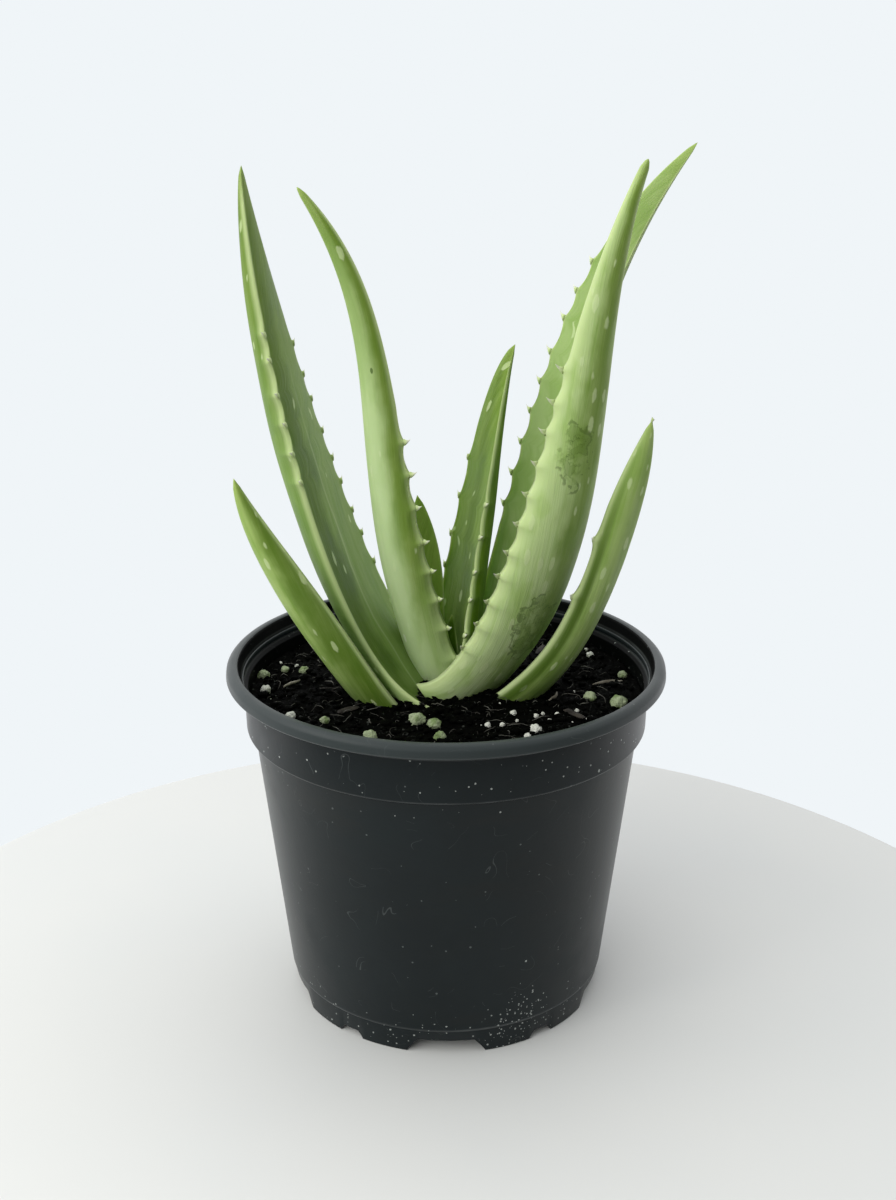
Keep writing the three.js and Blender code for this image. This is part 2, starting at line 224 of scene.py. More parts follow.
def node_group(name, inputs, outputs):
    """An empty shader group: inputs and outputs are lists of a name, a kind and a first value."""
    group = bpy.data.node_groups.new(name, "ShaderNodeTree")
    for title, kind, value in inputs:
        socket = group.interface.new_socket(title, in_out="INPUT", socket_type="NodeSocket" + kind)
        if value is not None:
            socket.default_value = value
    for title, kind in outputs:
        group.interface.new_socket(title, in_out="OUTPUT", socket_type="NodeSocket" + kind)
    return group, group.nodes.new("NodeGroupInput").outputs, group.nodes.new("NodeGroupOutput").inputs


def use(tree, group, **inputs):
    """Places a group in a material and gives its outputs."""
    return put(tree, "ShaderNodeGroup", {"node_tree": group}, **inputs).outputs


def specks_group():
    """Round flecks scattered over a surface: Share is how many cells hold one."""
    group, given, result = node_group(
        "specks", [("Vector", "Vector", None), ("Scale", "Float", 300.0), ("Share", "Float", 0.2),
                   ("Radius", "Float", 0.2)], [("Mask", "Float")])
    cells = put(group, "ShaderNodeTexVoronoi", Vector=given["Vector"], Scale=given["Scale"]).outputs
    chance = put(group, "ShaderNodeSeparateColor", Color=cells["Color"]).outputs
    size = maths(group, "MULTIPLY", given["Radius"], chance["Green"])
    spot = maths(group, "LESS_THAN", cells["Distance"], size)
    chosen = maths(group, "LESS_THAN", chance["Red"], given["Share"])
    group.links.new(maths(group, "MULTIPLY", spot, chosen), result["Mask"])
    return group


def hairlines_group():
    """Fine curved lines, broken into short strokes: Width is a share of the noise's range."""
    group, given, result = node_group(
        "hairlines", [("Vector", "Vector", None), ("Scale", "Float", 60.0),
                      ("Width", "Float", 0.004), ("Cover", "Float", 0.6)], [("Mask", "Float")])
    field = put(group, "ShaderNodeTexNoise", Vector=given["Vector"], Scale=given["Scale"],
                Detail=1.0, Distortion=0.6).outputs["Fac"]
    away = maths(group, "ABSOLUTE", maths(group, "SUBTRACT", field, 0.5))
    line = maths(group, "LESS_THAN", away, given["Width"])
    broken = put(group, "ShaderNodeTexNoise", Vector=given["Vector"],
                 Scale=maths(group, "MULTIPLY", given["Scale"], 1.7), Detail=0.0).outputs["Fac"]
    kept = maths(group, "GREATER_THAN", broken, given["Cover"])
    group.links.new(maths(group, "MULTIPLY", line, kept), result["Mask"])
    return group


def smudge_group():
    """Soft cloudy patches with an adjustable edge."""
    group, given, result = node_group(
        "smudges", [("Vector", "Vector", None), ("Scale", "Float", 20.0), ("Low", "Float", 0.45),
                    ("High", "Float", 0.7)], [("Mask", "Float")])
    field = put(group, "ShaderNodeTexNoise", Vector=given["Vector"], Scale=given["Scale"],
                Detail=4.0, Roughness=0.6).outputs["Fac"]
    soft = eased(group, field, given["Low"], given["High"])
    group.links.new(soft, result["Mask"])
    return group


specks = specks_group()
hairlines = hairlines_group()
smudges = smudge_group()


def near(tree, place, centre, radius):
    """One inside a ball round a point, falling to nothing at twice the radius."""
    gap = put(tree, "ShaderNodeVectorMath", {"operation": "DISTANCE"}, i0=place, i1=centre)
    return eased(tree, gap.outputs["Value"], 2 * radius, radius * 0.5)


def moulded_plastic(name, charcoal, worn, gloss, lip_share):
    material, tree, shader = new_material(name)
    place = put(tree, "ShaderNodeTexCoord").outputs["Object"]
    height = put(tree, "ShaderNodeSeparateXYZ", Vector=place).outputs["Z"]
    brown = (0.009, 0.0095, 0.0080, 1.0)
    # The grey of dust, also used for the painted highlights along the edges.
    dust_and_highlight_grey = (0.10, 0.11, 0.11, 1.0)
    lime = (0.44, 0.47, 0.45, 1.0)
    lip_grey = (0.058, 0.070, 0.070, 1.0)
    cloud = use(tree, smudges, Vector=place, Scale=22.0, Low=0.42, High=0.72)["Mask"]
    wipe = put(tree, "ShaderNodeMapping", Vector=place, Scale=(9.0, 9.0, 34.0)).outputs[0]
    wiped = use(tree, smudges, Vector=wipe, Scale=3.0, Low=0.5, High=0.8)["Mask"]
    colour = mixed(tree, maths(tree, "MULTIPLY", cloud, 0.45), charcoal, worn)
    colour = mixed(tree, maths(tree, "MULTIPLY", wiped, 0.35), colour, brown)
    # The lip is painted a paler grey.
    lip = eased(tree, height, 0.1195, 0.1215)
    colour = mixed(tree, maths(tree, "MULTIPLY", lip, lip_share), colour, lip_grey)
    fine = use(tree, specks, Vector=place, Scale=620.0, Share=0.05, Radius=0.26)["Mask"]
    colour = mixed(tree, maths(tree, "MULTIPLY", fine, 0.75), colour, dust_and_highlight_grey)
    big = use(tree, specks, Vector=place, Scale=260.0, Share=0.028, Radius=0.15)["Mask"]
    colour = mixed(tree, maths(tree, "MULTIPLY", big, 0.8), colour, lime)
    lines = use(tree, hairlines, Vector=place, Scale=70.0, Width=0.0018, Cover=0.60)["Mask"]
    colour = mixed(tree, maths(tree, "MULTIPLY", lines, 0.35), colour, dust_and_highlight_grey)
    # Thin pale lines are painted along raised edges as highlights: two on the lip, the band's lower edge
    # and the foot's line.
    for ridge in (0.1214, 0.1188, 0.1030, 0.0098):
        off = maths(tree, "ABSOLUTE", maths(tree, "SUBTRACT", height, ridge))
        edge = maths(tree, "MULTIPLY", eased(tree, off, 0.0006, 0.0002),
                     eased(tree, cloud, 0.0, 0.6, 0.35, 0.9))
        colour = mixed(tree, maths(tree, "MULTIPLY", edge, 0.6), colour, dust_and_highlight_grey)
    # Splashes of lime dry on the foot and under the lip, thickest at the front right lug.
    foot = eased(tree, height, 0.020, 0.004)
    under_lip = maths(tree, "MULTIPLY", eased(tree, height, 0.090, 0.108),
                      eased(tree, height, 0.122, 0.116))
    zones = maths(tree, "MAXIMUM", maths(tree, "MULTIPLY", foot, 0.25),
                  maths(tree, "MULTIPLY", under_lip, 0.07))
    lug = near(tree, place, (0.026, -0.051, 0.008), 0.010)
    zones = maths(tree, "MAXIMUM", zones, maths(tree, "MULTIPLY", lug, 0.9))
    splash = use(tree, specks, Vector=place, Scale=980.0, Share=zones, Radius=0.36)["Mask"]
    colour = mixed(tree, maths(tree, "MULTIPLY", splash, 0.7), colour, lime)
    tree.links.new(colour, shader.inputs["Base Color"])
    rough = eased(tree, cloud, 0.0, 1.0, 0.40, 0.52)
    tree.links.new(maths(tree, "ADD", rough, maths(tree, "MULTIPLY", big, 0.3)),
                   shader.inputs["Roughness"])
    shader.inputs["Specular IOR Level"].default_value = gloss
    shader.inputs["Coat Weight"].default_value = gloss * 2
    shader.inputs["Coat IOR"].default_value = 1.22
    shader.inputs["Coat Roughness"].default_value = 0.30
    orange_peel = put(tree, "ShaderNodeTexNoise", Vector=place, Scale=900.0, Detail=2.0)
    tall = maths(tree, "SUBTRACT", orange_peel.outputs["Fac"], maths(tree, "MULTIPLY", lines, 2.0))
    bump = put(tree, "ShaderNodeBump", Strength=0.12, Distance=0.0002, Height=tall)
    tree.links.new(bump.outputs["Normal"], shader.inputs["Normal"])
    return material


def pot_wall(z):
    """Inner radius of the cone and band at a height."""
    if z > BAND_BOTTOM_Z:
        rise = (z - BAND_BOTTOM_Z) / (POT_TOP - LIP_DEPTH - BAND_BOTTOM_Z)
        return BAND_BOTTOM_R + (BAND_TOP_R - BAND_BOTTOM_R) * rise - WALL
    rise = (z - FOOT_Z) / (BAND_BOTTOM_Z - FOOT_Z)
    return WALL_BOTTOM_R + (WALL_TOP_R - WALL_BOTTOM_R) * rise - WALL


def rounded(corners):
    """Outline of radius and height with each corner turned on its own radius."""
    line = [corners[0][:2]]
    for before, corner, after in zip(corners, corners[1:], corners[2:]):
        here = np.array(corner[:2], float)
        back = np.array(before[:2], float) - here
        on = np.array(after[:2], float) - here
        reach = min(corner[2], 0.45 * np.linalg.norm(back), 0.45 * np.linalg.norm(on))
        start = here + back / np.linalg.norm(back) * reach
        stop = here + on / np.linalg.norm(on) * reach
        for t in np.linspace(0, 1, 5):
            line.append(tuple((1 - t) ** 2 * start + 2 * t * (1 - t) * here + t * t * stop))
    line.append(corners[-1][:2])
    return line


def notch_height(turn):
    """Height of the foot's lower edge at a compass turn in degrees."""
    best = 0.0
    for i in range(NOTCHES):
        for first, notch in ((FIRST_WIDE_NOTCH, WIDE_NOTCH), (FIRST_SMALL_NOTCH, SMALL_NOTCH)):
            away = abs((turn - (first + NOTCH_TURN * i) + 180) % 360 - 180)
            along = math.radians(away) * FOOT_R
            half_bottom, half_top, height = notch
            slope = (half_bottom - along) / (half_bottom - half_top)
            best = max(best, height * min(max(slope, 0.0), 1.0) ** 0.8)
    return best


def make_pot():
    lip_bottom = POT_TOP - LIP_DEPTH
    gutter_top = GUTTER_Z + FLOOR
    outline = rounded([
        (0.4, 0, 0), (PAD_R, 0, 0.8), (PAD_R + 2, GUTTER_Z, 0.8), (SLOT_INNER_R, GUTTER_Z, 0),
        (SLOT_OUTER_R, GUTTER_Z, 0), (FOOT_R - WALL - 0.6, GUTTER_Z, 0.3),
        (FOOT_R - WALL, 0, 0.5), (FOOT_R, 0, 0.6), (WALL_BOTTOM_R - 0.35, FOOT_Z - 0.5, 0.2),
        (WALL_BOTTOM_R, FOOT_Z, 0.2),
        (WALL_BOTTOM_R + 5, FOOT_Z + 44.8, 0), (WALL_TOP_R, BAND_BOTTOM_Z - 0.4, 0.3),
        (BAND_BOTTOM_R, BAND_BOTTOM_Z, 0.7), (BAND_TOP_R - 0.1, lip_bottom - 2.6, 0.2),
        (BAND_TOP_R + 0.35, lip_bottom - 2.1, 0.2), (BAND_TOP_R, lip_bottom - 1.6, 0.2),
        (BAND_TOP_R, lip_bottom + 0.2, 0.4), (LIP_OUTER_R - 1.1, lip_bottom, 0.4),
        (LIP_OUTER_R, lip_bottom + 0.7, 0.5), (LIP_OUTER_R - 0.05, lip_bottom + 1.6, 0.2),
        (LIP_OUTER_R - 0.3, POT_TOP - 1.5, 0.7), (LIP_OUTER_R - 1.7, POT_TOP - 0.1, 0.9),
        (LIP_INNER_R + 0.7, POT_TOP, 0.5), (LIP_INNER_R, POT_TOP - 0.7, 0.5),
        (LIP_INNER_R - 1.5, POT_TOP - 7.2, 0.3), (pot_wall(POT_TOP - 8), POT_TOP - 8, 0.4),
        (pot_wall(BAND_BOTTOM_Z + 1.6), BAND_BOTTOM_Z + 1.6, 0.4),
        (pot_wall(BAND_BOTTOM_Z - 1), BAND_BOTTOM_Z - 1, 0.4),
        (pot_wall(gutter_top), gutter_top, 0.8), (SLOT_OUTER_R, gutter_top, 0),
        (SLOT_INNER_R, gutter_top, 0), (PAD_R + 1.2, gutter_top, 0.6),
        (PAD_R - 0.8, FLOOR, 0.6), (0.4, FLOOR, 0)])
    points = []
    for radius, height in outline:
        for k in range(POT_COLUMNS):
            degrees = 360.0 * k / POT_COLUMNS
            lowest = notch_height(degrees)
            z = height
            if radius > FOOT_R - WALL - 0.7 and height < FOOT_Z and radius < WALL_BOTTOM_R:
                share = max(0.0, 1 - height / (FOOT_Z - 0.5))
                z = height + lowest * share
            turn = math.radians(degrees)
            points.append((radius * math.cos(turn), radius * math.sin(turn), z))

    def in_slot(k):
        return any(abs((k + 0.5 - FIRST_WIDE_NOTCH - NOTCH_TURN * i + 180) % 360 - 180)
                   < SLOT_HALF_TURN for i in range(NOTCHES))

    def ring_at(radius, height):
        gaps = [abs(r - radius) + abs(h - height) for r, h in outline]
        return int(np.argmin(gaps))

    under = (ring_at(SLOT_INNER_R, GUTTER_Z), ring_at(SLOT_OUTER_R, GUTTER_Z))
    over = (ring_at(SLOT_INNER_R, gutter_top), ring_at(SLOT_OUTER_R, gutter_top))
    slot_rings = set(range(under[0], under[1])) | set(range(over[1], over[0]))
    columns = POT_COLUMNS
    faces = []
    for ring in range(len(outline) - 1):
        for k in range(columns):
            if ring in slot_rings and in_slot(k):
                continue
            a = ring * columns + k
            b = ring * columns + (k + 1) % columns
            faces.append((a, b, b + columns, a + columns))
    for k in range(columns):
        after = (k + 1) % columns
        if in_slot(k):
            for low, high, turned in ((under[0], over[0], 1), (under[1], over[1], -1)):
                wall = (low * columns + k, low * columns + after,
                        high * columns + after, high * columns + k)
                faces.append(wall[::turned])
        if in_slot(k) != in_slot(after):
            turned = 1 if in_slot(after) else -1
            wall = (under[0] * columns + after, under[1] * columns + after,
                    over[1] * columns + after, over[0] * columns + after)
            faces.append(wall[::turned])
    faces.append(tuple(range(columns))[::-1])
    faces.append(tuple((len(outline) - 1) * columns + k for k in range(columns)))
    outside = moulded_plastic("pot_outside", charcoal=(0.0022, 0.0060, 0.0074, 1.0),
                              worn=(0.010, 0.0165, 0.0185, 1.0), gloss=0.20, lip_share=0.60)
    # The inside takes a darker, duller copy of the same plastic: painted shade inside the pot.
    inside = moulded_plastic("pot_inside_shaded", charcoal=(0.0016, 0.0021, 0.0019, 1.0),
                             worn=(0.005, 0.006, 0.0056, 1.0), gloss=0.03, lip_share=0.0)
    piece = mesh_object("nursery_pot", points, faces, outside)
    piece.data.materials.append(inside)
    # Faces that look inwards below the lip take the painted-shade copy.
    for face in piece.data.polygons:
        inward = face.center.x * face.normal.x + face.center.y * face.normal.y < 0
        face.material_index = int(inward and face.center.z < (POT_TOP - 0.4) * MM)
    return piece


def tidy_normals(piece):
    """Turns every face of a closed mesh outwards and merges points that lie together."""
    work = bmesh.new()
    work.from_mesh(piece.data)
    bmesh.ops.remove_doubles(work, verts=work.verts, dist=1e-7)
    bmesh.ops.recalc_face_normals(work, faces=work.faces)
    work.to_mesh(piece.data)
    work.free()


pot = make_pot()
tidy_normals(pot)
pot.data.set_sharp_from_angle(angle=math.radians(42))
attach(pot, "root")
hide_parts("pot")


# ---- Potting mix -----------------------------------------------------------------------------
# A damp peat and composted-bark mix, nearly black, filling the pot to a finger's breadth below
# the lip. Its top is crumbled and uneven, slightly raised round the plant.

SOIL_TOP = 113.0
SOIL_MOUND = 1.6
SOIL_RIPPLE = 0.54
SOIL_CLEAR = 0.45
SOIL_FLOOR_GAP = 0.3
SOIL_COLUMNS = 300
SOIL_RINGS = 105
CRUMBLE = 0.95


def soil_height(x, y):
    """The bed's own height at a place, without its crumbs."""
    mound = SOIL_MOUND * math.exp(-(x * x + y * y) / 900)
    ripple = math.sin(0.19 * x + 1.3) * math.cos(0.23 * y - 0.4) + 0.5 * math.sin(0.41 * (x + y))
    return SOIL_TOP + mound + SOIL_RIPPLE * ripple


def crumbled_height(x, y):
    """The bed's height with its clods and crumbs."""
    clods = noise.fractal(Vector((x * 0.11, y * 0.11, 3.7)), 0.9, 2.0, 3)
    crumbs = noise.cell(Vector((x * 0.8, y * 0.8, 1.0))) * 0.35
    grit = noise.noise(Vector((x * 0.9, y * 0.9, 8.1))) * 0.5
    grit += noise.noise(Vector((x * 2.1, y * 2.1, 4.4))) * 0.35
    return soil_height(x, y) + CRUMBLE * (clods * 1.1 + grit + crumbs - 0.15)


def peat_material():
    material, tree, shader = new_material("peat_mix")
    place = put(tree, "ShaderNodeTexCoord").outputs["Object"]
    black = (0.0006, 0.0007, 0.0005, 1.0)
    brown = (0.0032, 0.0030, 0.0022, 1.0)
    grey = (0.050, 0.054, 0.048, 1.0)
    lumps = put(tree, "ShaderNodeTexNoise", Vector=place, Scale=420.0, Detail=6.0, Roughness=0.7)
    colour = mixed(tree, eased(tree, lumps.outputs["Fac"], 0.45, 0.75), black, brown)
    fibre = use(tree, hairlines, Vector=place, Scale=260.0, Width=0.010, Cover=0.60)["Mask"]
    colour = mixed(tree, maths(tree, "MULTIPLY", fibre, 0.7), colour, grey)
    grit = use(tree, specks, Vector=place, Scale=700.0, Share=0.03, Radius=0.34)["Mask"]
    colour = mixed(tree, maths(tree, "MULTIPLY", grit, 0.8), colour, grey)
    tree.links.new(colour, shader.inputs["Base Color"])
    wet = eased(tree, lumps.outputs["Fac"], 0.35, 0.65, 0.62, 0.95)
    tree.links.new(wet, shader.inputs["Roughness"])
    shader.inputs["Specular IOR Level"].default_value = 0.03
    bump = put(tree, "ShaderNodeBump", Strength=0.8, Distance=0.0006, Height=lumps.outputs["Fac"])
    tree.links.new(bump.outputs["Normal"], shader.inputs["Normal"])
    return material


peat = peat_material()


def make_soil():
    edge = pot_wall(SOIL_TOP) - SOIL_CLEAR
    bottom = FLOOR + SOIL_FLOOR_GAP
    gutter_top = GUTTER_Z + FLOOR + SOIL_FLOOR_GAP
    side = [(0.5, bottom), (PAD_R - 1.4, bottom), (PAD_R + 0.6, gutter_top),
            (pot_wall(gutter_top) - SOIL_CLEAR, gutter_top),
            (pot_wall(BAND_BOTTOM_Z - 1.2) - SOIL_CLEAR, BAND_BOTTOM_Z - 1.2),
            (pot_wall(BAND_BOTTOM_Z + 2) - SOIL_CLEAR, BAND_BOTTOM_Z + 2)]
    turns = [2 * math.pi * k / SOIL_COLUMNS for k in range(SOIL_COLUMNS)]
    points = [(r * math.cos(a), r * math.sin(a), z) for r, z in side for a in turns]
    for i in range(SOIL_RINGS):
        r = edge * (1 - i / SOIL_RINGS) + 0.3
        for a in turns:
            x, y = r * math.cos(a), r * math.sin(a)
            points.append((x, y, crumbled_height(x, y)))
    rings = len(points) // SOIL_COLUMNS
    faces = [tuple(range(SOIL_COLUMNS))[::-1]]
    for i in range(rings - 1):
        for k in range(SOIL_COLUMNS):
            a = i * SOIL_COLUMNS + k
            b = i * SOIL_COLUMNS + (k + 1) % SOIL_COLUMNS
            faces.append((a, b, b + SOIL_COLUMNS, a + SOIL_COLUMNS))
    faces.append(tuple((rings - 1) * SOIL_COLUMNS + k for k in range(SOIL_COLUMNS)))
    return mesh_object("peat_bed", points, faces, peat)


soil = make_soil()
tidy_normals(soil)
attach(soil, "root")
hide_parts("soil")


# ---- Crumbs and fibres -----------------------------------------------------------------------
# Loose crumbs of peat, root hairs and wood fibres lie all over the mix. They are the same stuff
# as the bed, dropped on it when the pot was filled.

CRUMBS = 2600
FIBRES = 300
ROOM_R = 66.5


def pebble(seed, size, flat=0.8, rough=0.35):
    """Points and faces of one lumpy grain about its own middle."""
    work = bmesh.new()
    bmesh.ops.create_icosphere(work, subdivisions=size, radius=1.0)
    shift = Vector((seed * 3.17, seed * 1.31, seed * 0.73))
    points = []
    for corner in work.verts:
        swell = 1 + rough * noise.noise(corner.co * 1.4 + shift)
        swell += 0.5 * rough * noise.noise(corner.co * 3.6 + shift)
        p = corner.co * swell
        points.append((p.x, p.y, p.z * flat))
    faces = [tuple(v.index for v in f.verts) for f in work.faces]
    work.free()
    return np.array(points), faces


def scatter(rolls, count, sizes, level, keep_clear=0.0):
    """Places on the bed: x, y, z, size and turn, in millimetres and radians."""
    found = []
    while len(found) < count:
        x, y = rolls.uniform(-ROOM_R, ROOM_R), rolls.uniform(-ROOM_R, ROOM_R)
        if not keep_clear < math.hypot(x, y) < ROOM_R:
            continue
        size = sizes[0] + (sizes[1] - sizes[0]) * rolls.random() ** 2.2
        found.append((x, y, crumbled_height(x, y) + level * size, size, rolls.uniform(0, 6.28)))
    return found


def joined(name, bits, material):
    """One object from a list of (points, faces)."""
    points, faces, start = [], [], 0
    for bit_points, bit_faces in bits:
        points.append(bit_points)
        faces.extend(tuple(i + start for i in face) for face in bit_faces)
        start += len(bit_points)
    return mesh_object(name, np.concatenate(points), faces, material)


def turned_about_z(points, turn):
    c, s = math.cos(turn), math.sin(turn)
    return points @ np.array([[c, s, 0], [-s, c, 0], [0, 0, 1]])


def make_crumbs():
    rolls = random.Random(41)
    shapes = [pebble(i, 1, 0.75, 0.8) for i in range(12)]
    bits = []
    for x, y, z, size, turn in scatter(rolls, CRUMBS, (0.35, 1.9), 0.25):
        points, faces = rolls.choice(shapes)
        stretch = np.array([1.0, rolls.uniform(0.6, 1.0), rolls.uniform(0.6, 1.0)])
        bits.append((turned_about_z(points * size * stretch, turn) + (x, y, z), faces))
    return joined("peat_crumbs", bits, peat)


def strand(places, radius, sides=5):
    """A thin closed tube through a row of points, pinched at both ends."""
    places = np.asarray(places, float)
    run = np.gradient(places, axis=0)
    run /= np.linalg.norm(run, axis=1)[:, None]
    flat = np.cross(run, (0.13, 0.21, 0.97))
    flat /= np.linalg.norm(flat, axis=1)[:, None]
    third = np.cross(run, flat)
    points, faces = [], []
    for i, place in enumerate(places):
        share = i / (len(places) - 1)
        r = radius * (0.35 + 0.65 * math.sin(math.pi * min(max(share, 0.08), 0.92)))
        for k in range(sides):
            a = 2 * math.pi * k / sides
            points.append(place + r * (math.cos(a) * flat[i] + math.sin(a) * third[i]))
    for i in range(len(places) - 1):
        for k in range(sides):
            a, b = i * sides + k, i * sides + (k + 1) % sides
            faces.append((a, b, b + sides, a + sides))
    faces.append(tuple(range(sides))[::-1])
    faces.append(tuple((len(places) - 1) * sides + k for k in range(sides)))
    return np.array(points), faces


def dry_fibre_material(name, pale, dark):
    material, tree, shader = new_material(name)
    place = put(tree, "ShaderNodeTexCoord").outputs["Object"]
    cloud = put(tree, "ShaderNodeTexNoise", Vector=place, Scale=160.0, Detail=3.0).outputs["Fac"]
    grain = put(tree, "ShaderNodeTexNoise", Vector=place, Scale=1500.0, Detail=2.0).outputs["Fac"]
    colour = mixed(tree, eased(tree, cloud, 0.35, 0.65), dark, pale)
    colour = mixed(tree, maths(tree, "MULTIPLY", grain, 0.5), colour, dark)
    tree.links.new(colour, shader.inputs["Base Color"])
    tree.links.new(eased(tree, grain, 0.2, 0.8, 0.6, 0.95), shader.inputs["Roughness"])
    bump = put(tree, "ShaderNodeBump", Strength=0.5, Distance=0.0002, Height=grain)
    tree.links.new(bump.outputs["Normal"], shader.inputs["Normal"])
    return material


def make_fibres():
    rolls = random.Random(97)
    bits = []
    for x, y, z, size, turn in scatter(rolls, FIBRES, (1.6, 9.0), 0.0):
        bend = rolls.uniform(-0.9, 0.9)
        lift = rolls.uniform(0.1, 0.9)
        places = []
        heading = turn
        px, py = x, y
        for i in range(7):
            places.append((px, py, crumbled_height(px, py) * 0.4 + soil_height(px, py) * 0.6
                           + 0.45 + lift * math.sin(math.pi * i / 6)))
            px += math.cos(heading) * size / 6
            py += math.sin(heading) * size / 6
            heading += bend / 3 + rolls.uniform(-0.25, 0.25)
        if max(math.hypot(p[0], p[1]) for p in places) < ROOM_R:
            bits.append(strand(places, rolls.uniform(0.07, 0.16)))
    pale = dry_fibre_material("dry_fibre", (0.20, 0.20, 0.17, 1.0), (0.025, 0.022, 0.018, 1.0))
    return joined("root_fibres", bits, pale)


crumbs = make_crumbs()
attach(crumbs, "root")
fibres = make_fibres()
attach(fibres, "root")


# ---- Perlite ---------------------------------------------------------------------------------
# Grains of expanded volcanic glass stirred into the mix to keep it open: light, pale and pitted,
# and a little green with algae where they lie in the light. The largest each have a place; the
# fine ones are scattered, but for a handful that lies together.

FINE_PERLITE = 46


def perlite_material(name, white, green, algae):
    material, tree, shader = new_material(name)
    place = put(tree, "ShaderNodeTexCoord").outputs["Object"]
    cloud = put(tree, "ShaderNodeTexNoise", Vector=place, Scale=230.0, Detail=4.0).outputs["Fac"]
    pits = put(tree, "ShaderNodeTexVoronoi", Vector=place, Scale=1700.0).outputs["Distance"]
    colour = mixed(tree, eased(tree, cloud, 0.62 - algae, 0.80 - algae), white, green)
    # The pits are painted darker, as the shade that falls in them.
    shaded = eased(tree, pits, 0.45, 0.05)
    colour = mixed(tree, maths(tree, "MULTIPLY", shaded, 0.45), colour, (0.10, 0.11, 0.06, 1.0))
    tree.links.new(colour, shader.inputs["Base Color"])
    tree.links.new(eased(tree, pits, 0.1, 0.6, 0.95, 0.75), shader.inputs["Roughness"])
    bump = put(tree, "ShaderNodeBump", Strength=0.7, Distance=0.0004, Height=pits)
    tree.links.new(bump.outputs["Normal"], shader.inputs["Normal"])
    return material


green_perlite = perlite_material("perlite_algae", (0.34, 0.40, 0.24, 1.0), (0.16, 0.23, 0.08, 1.0), 0.18)
white_perlite = perlite_material("perlite_clean", (0.66, 0.67, 0.60, 1.0), (0.38, 0.41, 0.30, 1.0), 0.0)

perlite_nodes = sorted(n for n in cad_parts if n.startswith("perlite_"))
for number, node in enumerate(perlite_nodes):
    low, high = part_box(node)
    middle = np.array((low + high) / 2) / MM
    half = np.array((high - low) / 2) / MM
    points, faces = pebble(number * 5 + 3, 4, 1.0, 0.24)
    points = points / np.abs(points).max(axis=0) * half
    points = np.array([p * (1 + 0.10 * noise.noise(Vector(p) * 1.9)) for p in points])
    material = white_perlite if number % 3 == 2 else green_perlite
    grain = mesh_object("grain_" + node, points + middle, faces, material)
    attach(grain, "root")
    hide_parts(node)


def make_fine_perlite():
    rolls = random.Random(7)
    shapes = [pebble(30 + i, 3, 0.9, 0.3) for i in range(8)]
    bits = []
    for x, y, z, size, turn in scatter(rolls, FINE_PERLITE, (0.25, 0.9), 0.35, 14.0):
        points, faces = rolls.choice(shapes)
        bits.append((turned_about_z(points * size, turn) + (x, y, z), faces))
    # A handful of clean white grains lies together at the front right, near the leaves.
    for x, y, size in ((14, -32, 1.1), (19, -33, 0.9), (23, -24, 1.2), (29, -36, 0.9), (27, -42, 1.3),
                       (35, -29, 0.8), (24, -29, 0.6), (38, -24, 0.9), (45, -20, 0.8), (33, -24, 0.7)):
        points, faces = rolls.choice(shapes)
        z = crumbled_height(x, y) + 0.5 * size
        bits.append((turned_about_z(points * size, size * 5) + (x, y, z), faces))
    return joined("fine_perlite", bits, white_perlite)


fine_perlite = make_fine_perlite()
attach(fine_perlite, "root")


# ---- Bark and twigs --------------------------------------------------------------------------
# Slivers of composted bark and dry twigs, left from the sieving of the mix. Each lies flat where
# it fell; the bark is split along its grain and the twigs are bent and knotted.

BARK_HEADINGS = (35, -50, 15, 70)
TWIG_HEADINGS = (20, 62, 72, 160)
bark_material = dry_fibre_material("bark_chip", (0.050, 0.042, 0.032, 1.0), (0.012, 0.009, 0.007, 1.0))
twig_material = dry_fibre_material("dry_twig", (0.36, 0.34, 0.28, 1.0), (0.11, 0.095, 0.07, 1.0))


def bark_sliver(seed, length, width, thick):
    """A flat splintered plate, its long edges ragged."""
    long_steps, wide_steps = 26, 9
    points, faces = [], []
    for face in (1, -1):
        for i in range(long_steps + 1):
            for k in range(wide_steps + 1):
                t, w = i / long_steps, k / wide_steps * 2 - 1
                taper = math.sin(math.pi * (0.1 + 0.8 * t)) ** 0.5
                ragged = 1 + 0.25 * noise.noise(Vector((t * 7, w * 0.5 + seed, face)))
                y = w * width / 2 * taper * ragged
                ridge = 0.25 * noise.noise(Vector((t * 2, w * 5, seed + 2.0 * face)))
                closed = (1 - abs(w) ** 4) * min(1.0, 8 * t, 8 * (1 - t))
                points.append(((t - 0.5) * length, y, face * thick / 2 * closed + ridge * closed))
    row = wide_steps + 1
    back = (long_steps + 1) * row
    for i in range(long_steps):
        for k in range(wide_steps):
            a = i * row + k
            faces.append((a, a + row, a + row + 1, a + 1))
            faces.append((back + a, back + a + 1, back + a + row + 1, back + a + row))
    return np.array(points), faces


for number, heading in enumerate(BARK_HEADINGS):
    node = f"bark_{number + 1}"
    low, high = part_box(node)
    middle = np.array((low + high) / 2) / MM
    reach = (high - low).xy.length / MM
    points, faces = bark_sliver(number * 3.3, reach * 0.93, 2.7, 1.3)
    points = turned_about_z(points, math.radians(heading))
    chip = mesh_object("chip_" + node, points + middle, faces, bark_material)
    tidy_normals(chip)
    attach(chip, "root")
    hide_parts(node)

for number, heading in enumerate(TWIG_HEADINGS):
    node = f"twig_{number + 1}"
    low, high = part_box(node)
    middle = (low + high) / 2 / MM
    reach = (high - low).xy.length / MM * 0.96
    turn = math.radians(heading)
    run = Vector((math.cos(turn), math.sin(turn), 0))
    side = Vector((-run.y, run.x, 0))
    places = []
    for i in range(25):
        t = i / 24
        off = 0.5 * math.sin(4.2 * t + number) + 0.25 * noise.noise(Vector((t * 5, number, 0)))
        places.append(middle + run * reach * (t - 0.5) + side * off
                      + Vector((0, 0, 0.3 * math.sin(3 * t + number))))
    points, faces = strand(places, 0.55, 12)
    twig = mesh_object("stick_" + node, points, faces, twig_material)
    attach(twig, "root")
    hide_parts(node)


